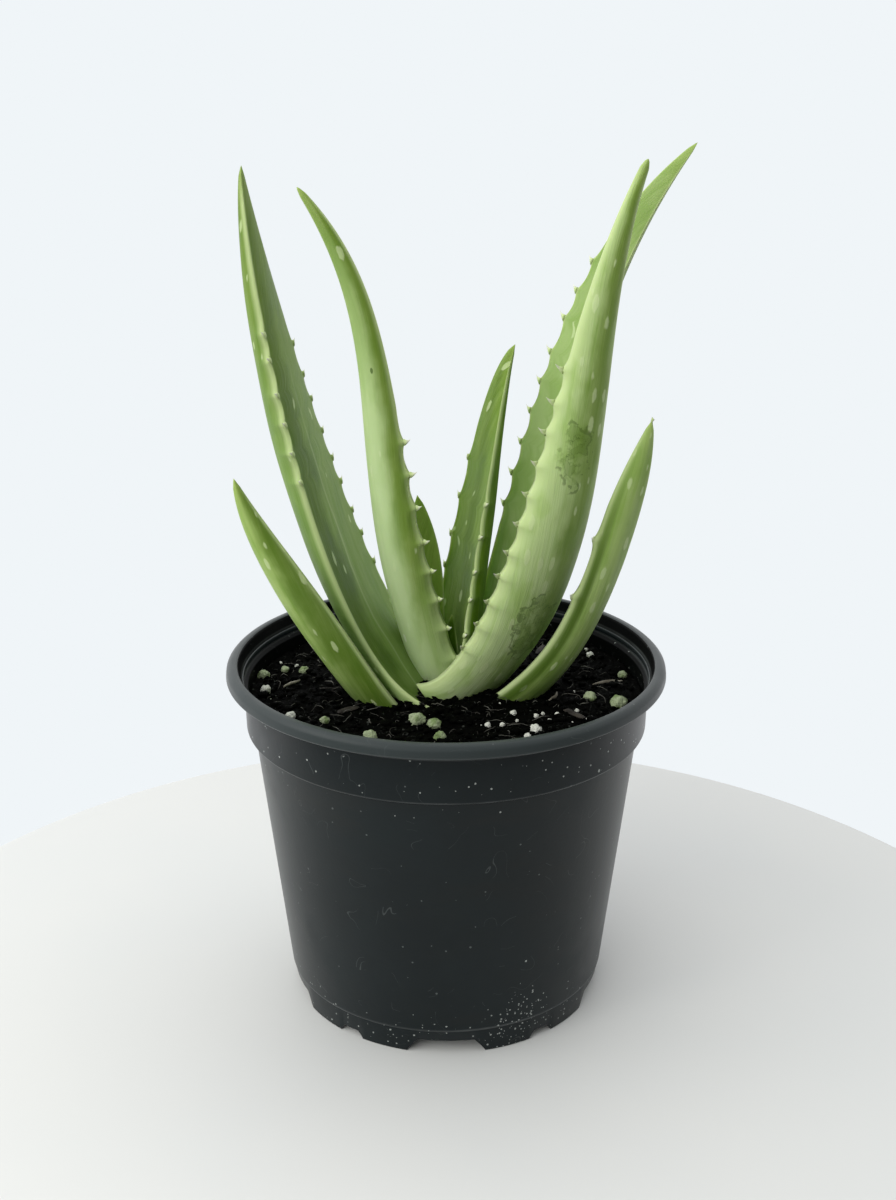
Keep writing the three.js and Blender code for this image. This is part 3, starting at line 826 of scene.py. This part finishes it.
# ---- Stem and roots --------------------------------------------------------------------------
# The short woody crown that all the leaves grow from, with its cord roots going down into the
# mix. It is buried, so only a little of it could ever be seen between the leaves.

root_bark = dry_fibre_material("root_bark", (0.44, 0.36, 0.22, 1.0), (0.20, 0.14, 0.08, 1.0))
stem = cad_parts["stem"]
stem.data.materials.clear()
stem.data.materials.append(root_bark)


# ---- Leaf skin and leaf shape ----------------------------------------------------------------
# Every leaf is a thick blade of clear jelly in a waxy green skin: round below, channelled above,
# with a pale horny rim that carries soft teeth. The young skin is flecked with long pale spots.

RING_STEP = 0.75
FACE_POINTS = 24
TIP_BELLY = 0.42
CHANNEL = 0.2
TIP_CHANNEL = -0.1
CHANNEL_SHARPNESS = 1.4
TIP_TAPER = 3.0
RIM_CUSP = 2.1
RIM_SCALLOP = 0.9
TOOTH_HALF_BASE = 1.2
TOOTH_ROOT = 0.6
SMALL_TEETH = 45
SMALL_TOOTH = 0.55


def lengthwise_group():
    """Streaks and flecks that run along a blade. Skin is measured flat, across and along."""
    group, given, result = node_group(
        "blade_grain", [("Skin", "Vector", None), ("Seed", "Float", 0.0)],
        [("Streaks", "Float"), ("Fine", "Float"), ("Clouds", "Float")])
    shift = put(group, "ShaderNodeCombineXYZ", X=given["Seed"], Y=given["Seed"], Z=0.0).outputs[0]
    moved = put(group, "ShaderNodeVectorMath", {"operation": "ADD"}, i0=given["Skin"], i1=shift)
    for title, scale, detail in (("Streaks", (0.42, 0.022, 1.0), 3.0),
                                 ("Fine", (2.6, 0.12, 1.0), 2.0), ("Clouds", (0.10, 0.05, 1.0), 3.0)):
        stretched = put(group, "ShaderNodeMapping", Vector=moved.outputs[0], Scale=scale).outputs[0]
        field = put(group, "ShaderNodeTexNoise", {"noise_dimensions": "2D"},
                    Vector=stretched, Scale=1.0, Detail=detail)
        group.links.new(field.outputs["Fac"], result[title])
    return group


def flecks_group():
    """Long pale spots set at random, each about three times as long as it is wide."""
    group, given, result = node_group(
        "pale_flecks", [("Skin", "Vector", None), ("Seed", "Float", 0.0), ("Share", "Float", 0.3),
                        ("Size", "Float", 0.2)], [("Mask", "Float")])
    shift = put(group, "ShaderNodeCombineXYZ", X=given["Seed"], Y=given["Seed"], Z=0.0).outputs[0]
    moved = put(group, "ShaderNodeVectorMath", {"operation": "ADD"}, i0=given["Skin"], i1=shift)
    stretched = put(group, "ShaderNodeMapping", Vector=moved.outputs[0], Scale=(0.22, 0.085, 1.0))
    wobble = put(group, "ShaderNodeTexNoise", {"noise_dimensions": "2D"}, Vector=stretched.outputs[0],
                 Scale=6.0, Detail=1.0).outputs["Fac"]
    cells = put(group, "ShaderNodeTexVoronoi", {"voronoi_dimensions": "2D"},
                Vector=stretched.outputs[0], Scale=1.0).outputs
    chance = put(group, "ShaderNodeSeparateColor", Color=cells["Color"]).outputs
    gap = maths(group, "ADD", cells["Distance"], maths(group, "MULTIPLY", wobble, 0.10))
    size = maths(group, "MULTIPLY", given["Size"], eased(group, chance["Green"], 0.0, 1.0, 0.55, 1.1))
    edge = maths(group, "SUBTRACT", size, gap)
    spot = eased(group, edge, -0.03, 0.05)
    chosen = maths(group, "LESS_THAN", chance["Red"], given["Share"])
    group.links.new(maths(group, "MULTIPLY", spot, chosen), result["Mask"])
    return group


blade_grain = lengthwise_group()
pale_flecks = flecks_group()
SAGE = (0.43, 0.58, 0.23, 1.0)
OLIVE = (0.15, 0.245, 0.022, 1.0)
DEEP_GREEN = (0.070, 0.150, 0.006, 1.0)


def leaf_skin(name, outer, inner, seed, flecks_out=0.12, flecks_in=0.2, fleck_size=0.26,
              stripe=None, stripe_at=-0.2, stripe_width=0.5, stripe_out=0.6, stripe_in=0.0,
              streaks=0.2, base=(0.50, 0.62, 0.33, 1.0), base_share=0.5, top_share=0.3,
              extra=None):
    """Waxy green skin. Outer and inner are the colours of the round and the hollow face."""
    material, tree, shader = new_material(name)

    def carried(title, output="Fac"):
        return put(tree, "ShaderNodeAttribute", {"attribute_name": title}).outputs[output]

    skin = carried("skin", "Vector")
    hollow = carried("hollow")
    rim = carried("rim")
    tooth = carried("tooth")
    along = carried("along")
    across = carried("across")
    grain = use(tree, blade_grain, Skin=skin, Seed=seed)
    soft_hollow = eased(tree, hollow, 0.35, 0.65)
    colour = mixed(tree, soft_hollow, outer, inner)
    # A band down the blade at stripe_at across it: on some leaves the leaf's own band, on others painted
    # shade on the side turned from the light.
    if stripe:
        wander = maths(tree, "MULTIPLY", maths(tree, "SUBTRACT", grain["Clouds"], 0.5), 0.9)
        middle = maths(tree, "SUBTRACT", maths(tree, "ADD", across, wander), stripe_at)
        band = eased(tree, maths(tree, "ABSOLUTE", middle), stripe_width, stripe_width * 0.1)
        strength = eased(tree, soft_hollow, 0.0, 1.0, stripe_out, stripe_in)
        colour = mixed(tree, maths(tree, "MULTIPLY", band, strength), colour, stripe)
    near_base = eased(tree, along, 0.42, 0.08)
    on_outside = maths(tree, "MULTIPLY", near_base, maths(tree, "SUBTRACT", 1.0, soft_hollow))
    colour = mixed(tree, maths(tree, "MULTIPLY", on_outside, base_share), colour, base)
    up_high = maths(tree, "MULTIPLY", eased(tree, along, 0.50, 0.95), top_share)
    colour = mixed(tree, up_high, colour, OLIVE)
    darker = mixed(tree, 1.0, colour, (0.62, 0.76, 0.36, 1.0), "MULTIPLY")
    lighter = mixed(tree, 0.30, colour, (0.58, 0.72, 0.28, 1.0))
    dark_streak = maths(tree, "MULTIPLY", eased(tree, grain["Streaks"], 0.50, 0.30), streaks + 0.1)
    colour = mixed(tree, dark_streak, colour, darker)
    colour = mixed(tree, maths(tree, "MULTIPLY", eased(tree, grain["Streaks"], 0.52, 0.74), streaks),
                   colour, lighter)
    colour = mixed(tree, maths(tree, "MULTIPLY", eased(tree, grain["Fine"], 0.52, 0.75), 0.22),
                   colour, lighter)
    colour = mixed(tree, maths(tree, "MULTIPLY", eased(tree, grain["Clouds"], 0.55, 0.35), 0.45),
                   colour, darker)
    share = eased(tree, soft_hollow, 0.0, 1.0, flecks_out, flecks_in)
    spots = use(tree, pale_flecks, Skin=skin, Seed=seed, Share=share, Size=fleck_size)["Mask"]
    colour = mixed(tree, maths(tree, "MULTIPLY", spots, 0.72), colour, (0.56, 0.68, 0.34, 1.0))
    if extra:
        colour = extra(tree, skin, across, along, colour)
    toward_tip = eased(tree, along, 0.90, 1.0)
    colour = mixed(tree, maths(tree, "MULTIPLY", toward_tip, 0.35), colour, (0.34, 0.44, 0.10, 1.0))
    horn = (0.56, 0.68, 0.32, 1.0)
    colour = mixed(tree, maths(tree, "MULTIPLY", rim, 0.85), colour, horn)
    colour = mixed(tree, eased(tree, tooth, 0.15, 0.8), colour, (0.74, 0.76, 0.60, 1.0))
    tree.links.new(colour, shader.inputs["Base Color"])
    wax = eased(tree, grain["Clouds"], 0.3, 0.7, 0.42, 0.56)
    tree.links.new(wax, shader.inputs["Roughness"])
    shader.inputs["Specular IOR Level"].default_value = 0.20
    shader.inputs["Sheen Weight"].default_value = 0.02
    shader.inputs["Sheen Roughness"].default_value = 0.5
    shader.inputs["Sheen Tint"].default_value = (0.86, 0.86, 0.95, 1.0)
    shader.inputs["Subsurface Weight"].default_value = 0.12
    shader.inputs["Subsurface Radius"].default_value = (0.7, 1.0, 0.3)
    shader.inputs["Subsurface Scale"].default_value = 0.004
    ridges = maths(tree, "ADD", maths(tree, "MULTIPLY", grain["Streaks"], 1.4), grain["Fine"])
    ridges = maths(tree, "ADD", ridges, maths(tree, "MULTIPLY", spots, 0.5))
    bump = put(tree, "ShaderNodeBump", Strength=0.35, Distance=0.0004, Height=ridges)
    tree.links.new(bump.outputs["Normal"], shader.inputs["Normal"])
    return material


def bezier(handles, t):
    """Points of a Bezier curve of any degree, one row for each t."""
    rows = [np.tile(np.atleast_1d(np.asarray(h, float)), (len(t), 1)) for h in handles]
    while len(rows) > 1:
        rows = [a + (b - a) * t[:, None] for a, b in zip(rows, rows[1:])]
    return rows[0]


def unit(rows):
    return rows / np.linalg.norm(rows, axis=1)[:, None]


def tooth_places(first, last, count, rolls):
    """Distances of the teeth from the stem, near enough evenly spaced."""
    if count == 0:
        return []
    pitch = (last - first) / max(count - 1, 1)
    return [first + pitch * k + rolls.uniform(-0.08, 0.08) * pitch for k in range(count)]


def rim_offset(s, teeth):
    """How far the rim stands out at each distance: a cusp at each tooth, a hollow between."""
    out = np.zeros(len(s))
    if not teeth:
        return out
    for place in teeth:
        out = np.maximum(out, RIM_CUSP * np.exp(-np.abs(s - place) / 2.3))
    zone = np.clip((s - teeth[0] + 8) / 8, 0, 1) * np.clip((teeth[-1] + 12 - s) / 12, 0, 1)
    return out - RIM_SCALLOP * zone


def leaf_tooth(root, outward, tip_way, upper, height, half_base):
    """A curved horn: points, faces and how far up the tooth each point is."""
    sides, levels = 10, 6
    points, rise, faces = [], [], []
    for level in range(levels + 1):
        v = level / levels
        shrink = (1 - v) ** 1.25 + 0.02
        middle = root + outward * (height * v - 0.5) + tip_way * (height * 0.35 * v * v)
        for k in range(sides):
            a = 2 * math.pi * k / sides
            points.append(middle + tip_way * (half_base * shrink * math.cos(a))
                          + upper * (half_base * 0.55 * shrink * math.sin(a)))
            rise.append(v)
    for level in range(levels):
        for k in range(sides):
            a, b = level * sides + k, level * sides + (k + 1) % sides
            faces.append((a, b, b + sides, a + sides))
    faces.append(tuple(range(sides))[::-1])
    faces.append(tuple(levels * sides + k for k in range(sides)))
    return np.array(points), faces, rise


def make_leaf(name, node, spine, width, facing, belly, skin, left=(0, 0, 0), right=(0, 0, 0),
              tooth=1.4, seed=1, rim_width=0.45, channel=CHANNEL):
    """Lofts a blade along its spine. Left and right are (first, last, how many) teeth, in
    millimetres from the stem, on the rim at the start and the end of the round face."""
    rolls = random.Random(seed)
    t_fine = np.linspace(0, 1, 1001)
    fine = bezier(spine, t_fine)
    arc = np.concatenate([[0], np.cumsum(np.linalg.norm(np.diff(fine, axis=0), axis=1))])
    length = arc[-1]
    s = np.linspace(0, length, int(length / RING_STEP))
    t = np.interp(s, arc, t_fine)
    centre = bezier(spine, t)
    tangent = unit(np.gradient(centre, axis=0))
    heading = np.radians(facing[0] + (facing[1] - facing[0]) * t)
    upper = np.stack([np.cos(heading), np.sin(heading), np.zeros(len(t))], axis=1)
    upper = unit(upper - tangent * np.sum(upper * tangent, axis=1)[:, None])
    across = np.cross(tangent, upper)
    breadth = np.maximum(bezier(width, t)[:, 0], 0.8)
    breadth = breadth * (0.15 + 0.85 * np.sqrt(np.clip((length - s) / TIP_TAPER, 0, 1)))
    depth = breadth * (belly + (TIP_BELLY - belly) * t)
    dip = breadth * (channel + (TIP_CHANNEL - channel) * t)
    rims = [tooth_places(*left, rolls), tooth_places(*right, rolls)]
    offsets = [rim_offset(s, teeth) for teeth in rims]
    theta = np.linspace(0, math.pi, FACE_POINTS + 1)
    ring_u = np.concatenate([np.cos(theta), np.cos(theta[-2:0:-1])])
    ring_low = np.concatenate([np.sin(theta), np.zeros(FACE_POINTS - 1)])
    ring_high = np.concatenate([np.zeros(FACE_POINTS + 1), np.sin(theta[-2:0:-1]) ** CHANNEL_SHARPNESS])
    count = len(ring_u)
    half = breadth[:, None] / 2
    to_rim = np.abs(ring_u)[None, :] ** 14
    side = np.where(ring_u[None, :] > 0, offsets[0][:, None], offsets[1][:, None])
    u = half * ring_u + np.sign(ring_u) * side * to_rim
    wave = 0.22 * np.sin(s / 19 + seed) + 0.12 * np.sin(s / 7.3 + 2 * seed)
    n = -(depth[:, None] + wave[:, None] * np.minimum(breadth / 20, 1)[:, None]) * ring_low
    n = n - dip[:, None] * ring_high
    rings = centre[:, None, :] + across[:, None, :] * u[..., None] + upper[:, None, :] * n[..., None]
    points = rings.reshape(-1, 3)
    step = np.linalg.norm(np.diff(rings, axis=1), axis=2)
    girth = np.concatenate([np.zeros((len(s), 1)), np.cumsum(step, axis=1)], axis=1)
    girth = girth - girth[:, FACE_POINTS // 2][:, None]
    hollow = np.tile(np.where(np.arange(count) > FACE_POINTS, 1.0, 0.0), (len(s), 1))
    hollow[:, 0] = 0.5
    hollow[:, FACE_POINTS] = 0.5
    from_rim = half * (1 - np.abs(ring_u))
    rim = np.exp(-(from_rim / rim_width) ** 2) * np.clip((length - s) / 12, 0.2, 1)[:, None]
    carried = {
        "along": np.repeat(s / length, count), "across": np.tile(ring_u, len(s)),
        "hollow": hollow.reshape(-1), "rim": rim.reshape(-1), "tooth": np.zeros(len(points)),
    }
    flat = np.stack([girth.reshape(-1), np.repeat(s, count), np.zeros(len(points))], axis=1)
    faces = []
    for i in range(len(s) - 1):
        for k in range(count):
            a, b = i * count + k, i * count + (k + 1) % count
            faces.append((a, b, b + count, a + count))
    for start, flip in ((0, -1), ((len(s) - 1) * count, 1)):
        for k in range(FACE_POINTS):
            cap = [start + k, start + k + 1, start + (count - k - 1) % count, start + (count - k) % count]
            cap = list(dict.fromkeys(cap))
            faces.append(tuple(cap[::flip]))
    all_points, all_faces, extra = [points], faces, {key: [value] for key, value in carried.items()}
    flats = [flat]
    total = len(points)
    for which, teeth in enumerate(rims):
        sign = 1 if which == 0 else -1
        rim_index = 0 if which == 0 else FACE_POINTS
        fade = length - SMALL_TEETH
        for place in teeth:
            i = int(np.argmin(np.abs(s - place)))
            outward = across[i] * sign * 0.95 + tangent[i] * 0.18
            height = tooth * rolls.uniform(0.85, 1.15) * (SMALL_TOOTH if place > fade else 1.0)
            tooth_points, tooth_faces, rise = leaf_tooth(
                rings[i, rim_index], outward, tangent[i], upper[i], height + TOOTH_ROOT, TOOTH_HALF_BASE)
            all_points.append(tooth_points)
            all_faces.extend(tuple(v + total for v in face) for face in tooth_faces)
            total += len(tooth_points)
            number = len(tooth_points)
            values = {"along": s[i] / length, "across": sign, "hollow": 0.5, "rim": 1.0}
            for key, value in values.items():
                extra[key].append(np.full(number, value))
            extra["tooth"].append(np.array(rise))
            flats.append(np.tile([0.0, s[i], 0.0], (number, 1)))
    piece = mesh_object(name, np.concatenate(all_points), all_faces, skin)
    mesh = piece.data
    for key, values in extra.items():
        layer = mesh.attributes.new(key, "FLOAT", "POINT")
        layer.data.foreach_set("value", np.concatenate(values).astype(np.float32))
    layer = mesh.attributes.new("skin", "FLOAT_VECTOR", "POINT")
    layer.data.foreach_set("vector", np.concatenate(flats).astype(np.float32).reshape(-1))
    tidy_normals(piece)
    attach(piece, "root")
    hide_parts(node)
    return piece


# ---- Low leaf at the left --------------------------------------------------------------------
# The lowest, oldest leaf on the left, short and narrow, leaning out over the lip. Its outside is
# mid green with long pale flecks, and it darkens where it goes down into the mix.

make_leaf(
    "blade_left_low", "leaf_left_low",
    spine=[(-13, -4, 103), (-31, -6, 117), (-41, -15, 145), (-63, -15, 169), (-70, -15, 194)],
    width=[23.5, 26.5, 17, 15.5, 1], facing=(20, 70), belly=0.33, seed=3, tooth=0.9,
    rim_width=0.2,
    skin=leaf_skin("skin_left_low", (0.38, 0.53, 0.16, 1.0), (0.20, 0.32, 0.05, 1.0), 11.0,
                   flecks_out=0.45, flecks_in=0.45, fleck_size=0.26, stripe=(0.10, 0.18, 0.015, 1.0),
                   stripe_out=0.8, stripe_at=-0.85, stripe_width=1.0, streaks=0.3,
                   base=(0.08, 0.15, 0.012, 1.0), base_share=0.95))

# ---- Low leaf at the right -------------------------------------------------------------------
# Its partner on the right, showing its round outside. A dark line painted beside the front edge is
# the shadow in a fold of the skin, and the grey on the edge itself is its wax with a painted sheen.


def painted_fold_shadow_and_sheen(tree, skin, across, along, colour):
    """Grey wax inside the front edge with its sheen painted in, and the painted shadow of the fold that
    bounds it.
    """
    # The grey here is the wax bloom with a painted sheen.
    painted_light = eased(tree, across, 0.93, 0.98)
    colour = mixed(tree, maths(tree, "MULTIPLY", painted_light, 0.75), colour, (0.36, 0.46, 0.24, 1.0))
    # The dark line here is painted shadow in the fold.
    off = maths(tree, "ABSOLUTE", maths(tree, "SUBTRACT", across, 0.84))
    fold_shadow = maths(tree, "MULTIPLY", eased(tree, off, 0.24, 0.05), eased(tree, along, 1.0, 0.5))
    return mixed(tree, maths(tree, "MULTIPLY", fold_shadow, 0.85), colour, (0.055, 0.11, 0.008, 1.0))


make_leaf(
    "blade_right_low", "leaf_right_low",
    spine=[(14, -5, 105), (55, -4, 133), (48, -7, 160), (62, -12, 185), (68, -8, 212)],
    width=[19, 18, 12.5, 20, 1], facing=(150, 105), belly=0.32, seed=5, tooth=0.9,
    left=(58, 79, 2), right=(71, 121, 2),
    skin=leaf_skin("skin_right_low", (0.36, 0.50, 0.16, 1.0), (0.27, 0.38, 0.12, 1.0), 23.0,
                   flecks_out=0.60, flecks_in=0.30, fleck_size=0.24, stripe=(0.33, 0.45, 0.18, 1.0),
                   stripe_out=0.6, stripe_at=-0.2, stripe_width=0.5, streaks=0.35,
                   base=(0.13, 0.22, 0.03, 1.0), base_share=0.8, top_share=0.1,
                   extra=painted_fold_shadow_and_sheen))

# ---- Tall leaf at the left -------------------------------------------------------------------
# A tall leaf that opens towards the middle, so its hollow face shows between two toothed edges.
# The front edge runs down as a pale line and wraps round to the front at the mix.


def pale_vein(tree, skin, across, along, colour):
    """A thin pale line that runs up the hollow, a little to one side of its middle."""
    wander = put(tree, "ShaderNodeTexNoise", {"noise_dimensions": "2D"}, Vector=skin, Scale=0.03)
    lean = maths(tree, "MULTIPLY", maths(tree, "SUBTRACT", wander.outputs["Fac"], 0.5), 0.35)
    off = maths(tree, "ABSOLUTE", maths(tree, "ADD", maths(tree, "ADD", across, 0.05), lean))
    line = maths(tree, "MULTIPLY", eased(tree, off, 0.055, 0.01), eased(tree, along, 0.8, 0.4))
    return mixed(tree, maths(tree, "MULTIPLY", line, 0.45), colour, (0.50, 0.60, 0.32, 1.0))


# The dark band in its hollow near the front edge is partly the leaf's own colour and partly painted
# shade, where the hollow's wall turns from the light.
make_leaf(
    "blade_left_tall", "leaf_left_tall",
    spine=[(9, -12, 103.5), (-26, 13, 118), (-39, 2, 167), (-60, 3, 243), (-66, 8, 292)],
    width=[28, 36.5, 35.5, 30, 1.5], facing=(-18, -11), belly=0.30, channel=0.07, seed=8,
    tooth=2.2, rim_width=0.35,
    left=(68, 151, 9), right=(110, 160, 6),
    skin=leaf_skin("skin_left_tall", (0.20, 0.32, 0.075, 1.0), (0.25, 0.37, 0.10, 1.0), 37.0,
                   flecks_out=0.30, flecks_in=0.12, fleck_size=0.24, streaks=0.22, base_share=0.35,
                   stripe=(0.10, 0.18, 0.015, 1.0), stripe_at=-0.72, stripe_width=0.8, stripe_out=0.0,
                   stripe_in=0.9, top_share=0.85, extra=pale_vein))

# ---- Front right leaf ------------------------------------------------------------------------
# The largest leaf, thick and broad, showing its round outside. Its left edge carries the boldest
# teeth and wraps across the front of the plant. A loop-shaped scar and a bruise mark its skin.


def scars(tree, skin, across, along, colour):
    """An old healed loop half way up, and a bruised patch with cracks in it near the bottom."""
    bent = put(tree, "ShaderNodeTexNoise", {"noise_dimensions": "2D"}, Vector=skin, Scale=0.16,
               Detail=4.0).outputs["Color"]
    bent = put(tree, "ShaderNodeVectorMath", {"operation": "SCALE"}, i0=bent, Scale=12.0).outputs[0]
    wavy = put(tree, "ShaderNodeVectorMath", {"operation": "ADD"}, i0=skin, i1=bent).outputs[0]
    bruise = (0.13, 0.225, 0.035, 1.0)
    crack = (0.05, 0.10, 0.012, 1.0)
    mottle = put(tree, "ShaderNodeTexNoise", {"noise_dimensions": "2D"}, Vector=wavy, Scale=0.22,
                 Detail=3.0).outputs["Fac"]
    for girth, height, radius, tall in ((-3.5, 113.0, 5.6, 0.55), (-2.0, 50.0, 9.5, 0.75)):
        fitted = put(tree, "ShaderNodeMapping", Vector=wavy, Scale=(1.0, tall, 0.0)).outputs[0]
        middle = (girth + 6.0, (height + 6.0) * tall, 0.0)
        gap = put(tree, "ShaderNodeVectorMath", {"operation": "DISTANCE"}, i0=fitted, i1=middle)
        gap = gap.outputs["Value"]
        patch = maths(tree, "MULTIPLY", eased(tree, gap, radius * 1.05, radius * 0.75),
                      eased(tree, mottle, 0.35, 0.52))
        colour = mixed(tree, maths(tree, "MULTIPLY", patch, 0.42), colour, bruise)
        off = maths(tree, "ABSOLUTE", maths(tree, "SUBTRACT", gap, radius))
        line = maths(tree, "MULTIPLY", eased(tree, off, 0.9, 0.3), eased(tree, mottle, 0.44, 0.50))
        colour = mixed(tree, maths(tree, "MULTIPLY", line, 0.5), colour, crack)
        split = maths(tree, "ABSOLUTE", maths(tree, "SUBTRACT", mottle, 0.55))
        split = maths(tree, "MULTIPLY", eased(tree, split, 0.014, 0.004),
                      eased(tree, gap, radius, radius * 0.8))
        colour = mixed(tree, maths(tree, "MULTIPLY", split, 0.6), colour, crack)
    return colour


make_leaf(
    "blade_front_right", "leaf_front_right",
    spine=[(-5, 5, 107), (22, 10, 126), (46, -24, 174), (37, -20, 235), (63, -9, 295)],
    width=[38, 46, 27, 14, 2.5], facing=(158, 95), belly=0.29, seed=13, tooth=2.6,
    rim_width=0.9,
    left=(35, 138, 11),
    skin=leaf_skin("skin_front_right", (0.50, 0.65, 0.28, 1.0), (0.18, 0.29, 0.05, 1.0), 51.0,
                   flecks_out=0.45, fleck_size=0.27, stripe=(0.19, 0.30, 0.045, 1.0), stripe_at=-0.2,
                   stripe_width=0.85, stripe_out=0.85, base_share=0.35, extra=scars))

# ---- Front left leaf -------------------------------------------------------------------------
# A slim leaf that rises straight and bends away at the tip, its round back to the front. It is
# the palest leaf, with painted light up its left side, and painted shade and teeth down its right edge.


def painted_left_light_and_marks(tree, skin, across, along, colour):
    """Painted light up the left side of the lower half, and one small healed nick above it."""
    low = eased(tree, along, 0.95, 0.30)
    left = eased(tree, across, -0.80, 0.0)
    # The pale sage up the left side is painted light from the window at the left.
    painted_light = maths(tree, "MULTIPLY", low, left)
    colour = mixed(tree, maths(tree, "MULTIPLY", painted_light, 0.7), colour, (0.64, 0.80, 0.44, 1.0))
    for place, width, tint in (((1.5, 139.0, 0.0), 0.6, (0.07, 0.13, 0.02, 1.0)),
                               ((-3.0, 38.0, 0.0), 1.1, (0.80, 0.86, 0.70, 1.0))):
        shape = put(tree, "ShaderNodeMapping", Vector=skin, Scale=(1.0, 0.5, 0.0)).outputs[0]
        middle = (place[0], place[1] * 0.5, 0.0)
        gap = put(tree, "ShaderNodeVectorMath", {"operation": "DISTANCE"}, i0=shape, i1=middle)
        spot = eased(tree, gap.outputs["Value"], width, width * 0.6)
        colour = mixed(tree, maths(tree, "MULTIPLY", spot, 0.85), colour, tint)
    return colour


# Its dark stripe down the right edge is painted shade.
make_leaf(
    "blade_front_left", "leaf_front_left",
    spine=[(5, 15, 99), (-22, -4, 169), (-22, -18, 217), (-17, -18, 251), (-46, -16, 287)],
    width=[28.5, 27.5, 5, 13, 1.5], facing=(33, 79), belly=0.32, seed=21, tooth=2.6,
    rim_width=0.35,
    right=(31, 114, 8),
    skin=leaf_skin("skin_front_left", SAGE, (0.16, 0.27, 0.06, 1.0), 67.0,
                   flecks_out=0.16, stripe=(0.19, 0.30, 0.035, 1.0), stripe_at=-0.85,
                   stripe_width=0.70, stripe_out=0.85, base_share=0.6, top_share=0.55,
                   extra=painted_left_light_and_marks))

# ---- Back right leaf -------------------------------------------------------------------------
# It stands behind the front right leaf and shows its hollow face and one toothed edge. Its bend
# and its tip rise clear of the leaf before it.

make_leaf(
    "blade_back_right", "leaf_back_right",
    spine=[(7, 5, 103), (29, 12, 162), (35, 18, 218), (48, 16, 264), (81, 10, 299)],
    width=[16, 30.5, 17, 19, 1], facing=(219, 219), belly=0.35, seed=34, tooth=2.4,
    rim_width=0.3,
    right=(75, 163, 9),
    skin=leaf_skin("skin_back_right", (0.28, 0.41, 0.11, 1.0), (0.36, 0.50, 0.18, 1.0), 83.0,
                   flecks_out=0.25, flecks_in=0.16, streaks=0.22, top_share=0.4))

# ---- Inner leaves ----------------------------------------------------------------------------
# The young leaves of the heart: one tall enough to show, one short behind the front left leaf,
# and the rolled sprout between them. Their feet are the darkest green of the plant.

make_leaf(
    "blade_inner_centre", "leaf_inner_centre",
    spine=[(0, 3, 104), (-2, 4, 143), (12, 5, 181), (13, 7, 219), (23, 4, 235)],
    width=[28.5, 33.5, 16.5, 15.5, 1], facing=(195, 210), belly=0.34, seed=55, tooth=1.9,
    rim_width=0.2,
    left=(34, 79, 5), right=(49, 90, 4),
    skin=leaf_skin("skin_inner_centre", (0.12, 0.22, 0.012, 1.0), (0.18, 0.29, 0.04, 1.0), 97.0,
                   flecks_out=0.12, flecks_in=0.16, streaks=0.25, stripe=(0.06, 0.13, 0.003, 1.0),
                   stripe_at=0.1, stripe_width=0.6, stripe_out=0.3, stripe_in=0.5,
                   base=DEEP_GREEN, base_share=0.9))

make_leaf(
    "blade_inner_small", "leaf_inner_small",
    spine=[(-3, 3, 106), (-6, 4, 137), (-7, 6, 164), (-10, 8, 182)],
    width=[4, 9, 19, 12.5, 1], facing=(-60, -61), belly=0.35, seed=89, tooth=0.8,
    skin=leaf_skin("skin_inner_small", (0.26, 0.40, 0.07, 1.0), (0.46, 0.62, 0.15, 1.0), 113.0,
                   flecks_out=0.10, flecks_in=0.06, base=DEEP_GREEN, base_share=0.8))

make_leaf(
    "blade_core_sprout", "leaf_core_sprout",
    spine=[(1, 1, 108), (2, 1, 118), (1, 0, 132), (2, 0, 141)],
    width=[9, 9, 6, 1], facing=(-60, -60), belly=0.36, seed=144, tooth=0.5,
    skin=leaf_skin("skin_core_sprout", (0.13, 0.24, 0.04, 1.0), DEEP_GREEN, 131.0,
                   flecks_out=0.05, flecks_in=0.05, base=DEEP_GREEN, base_share=0.5))
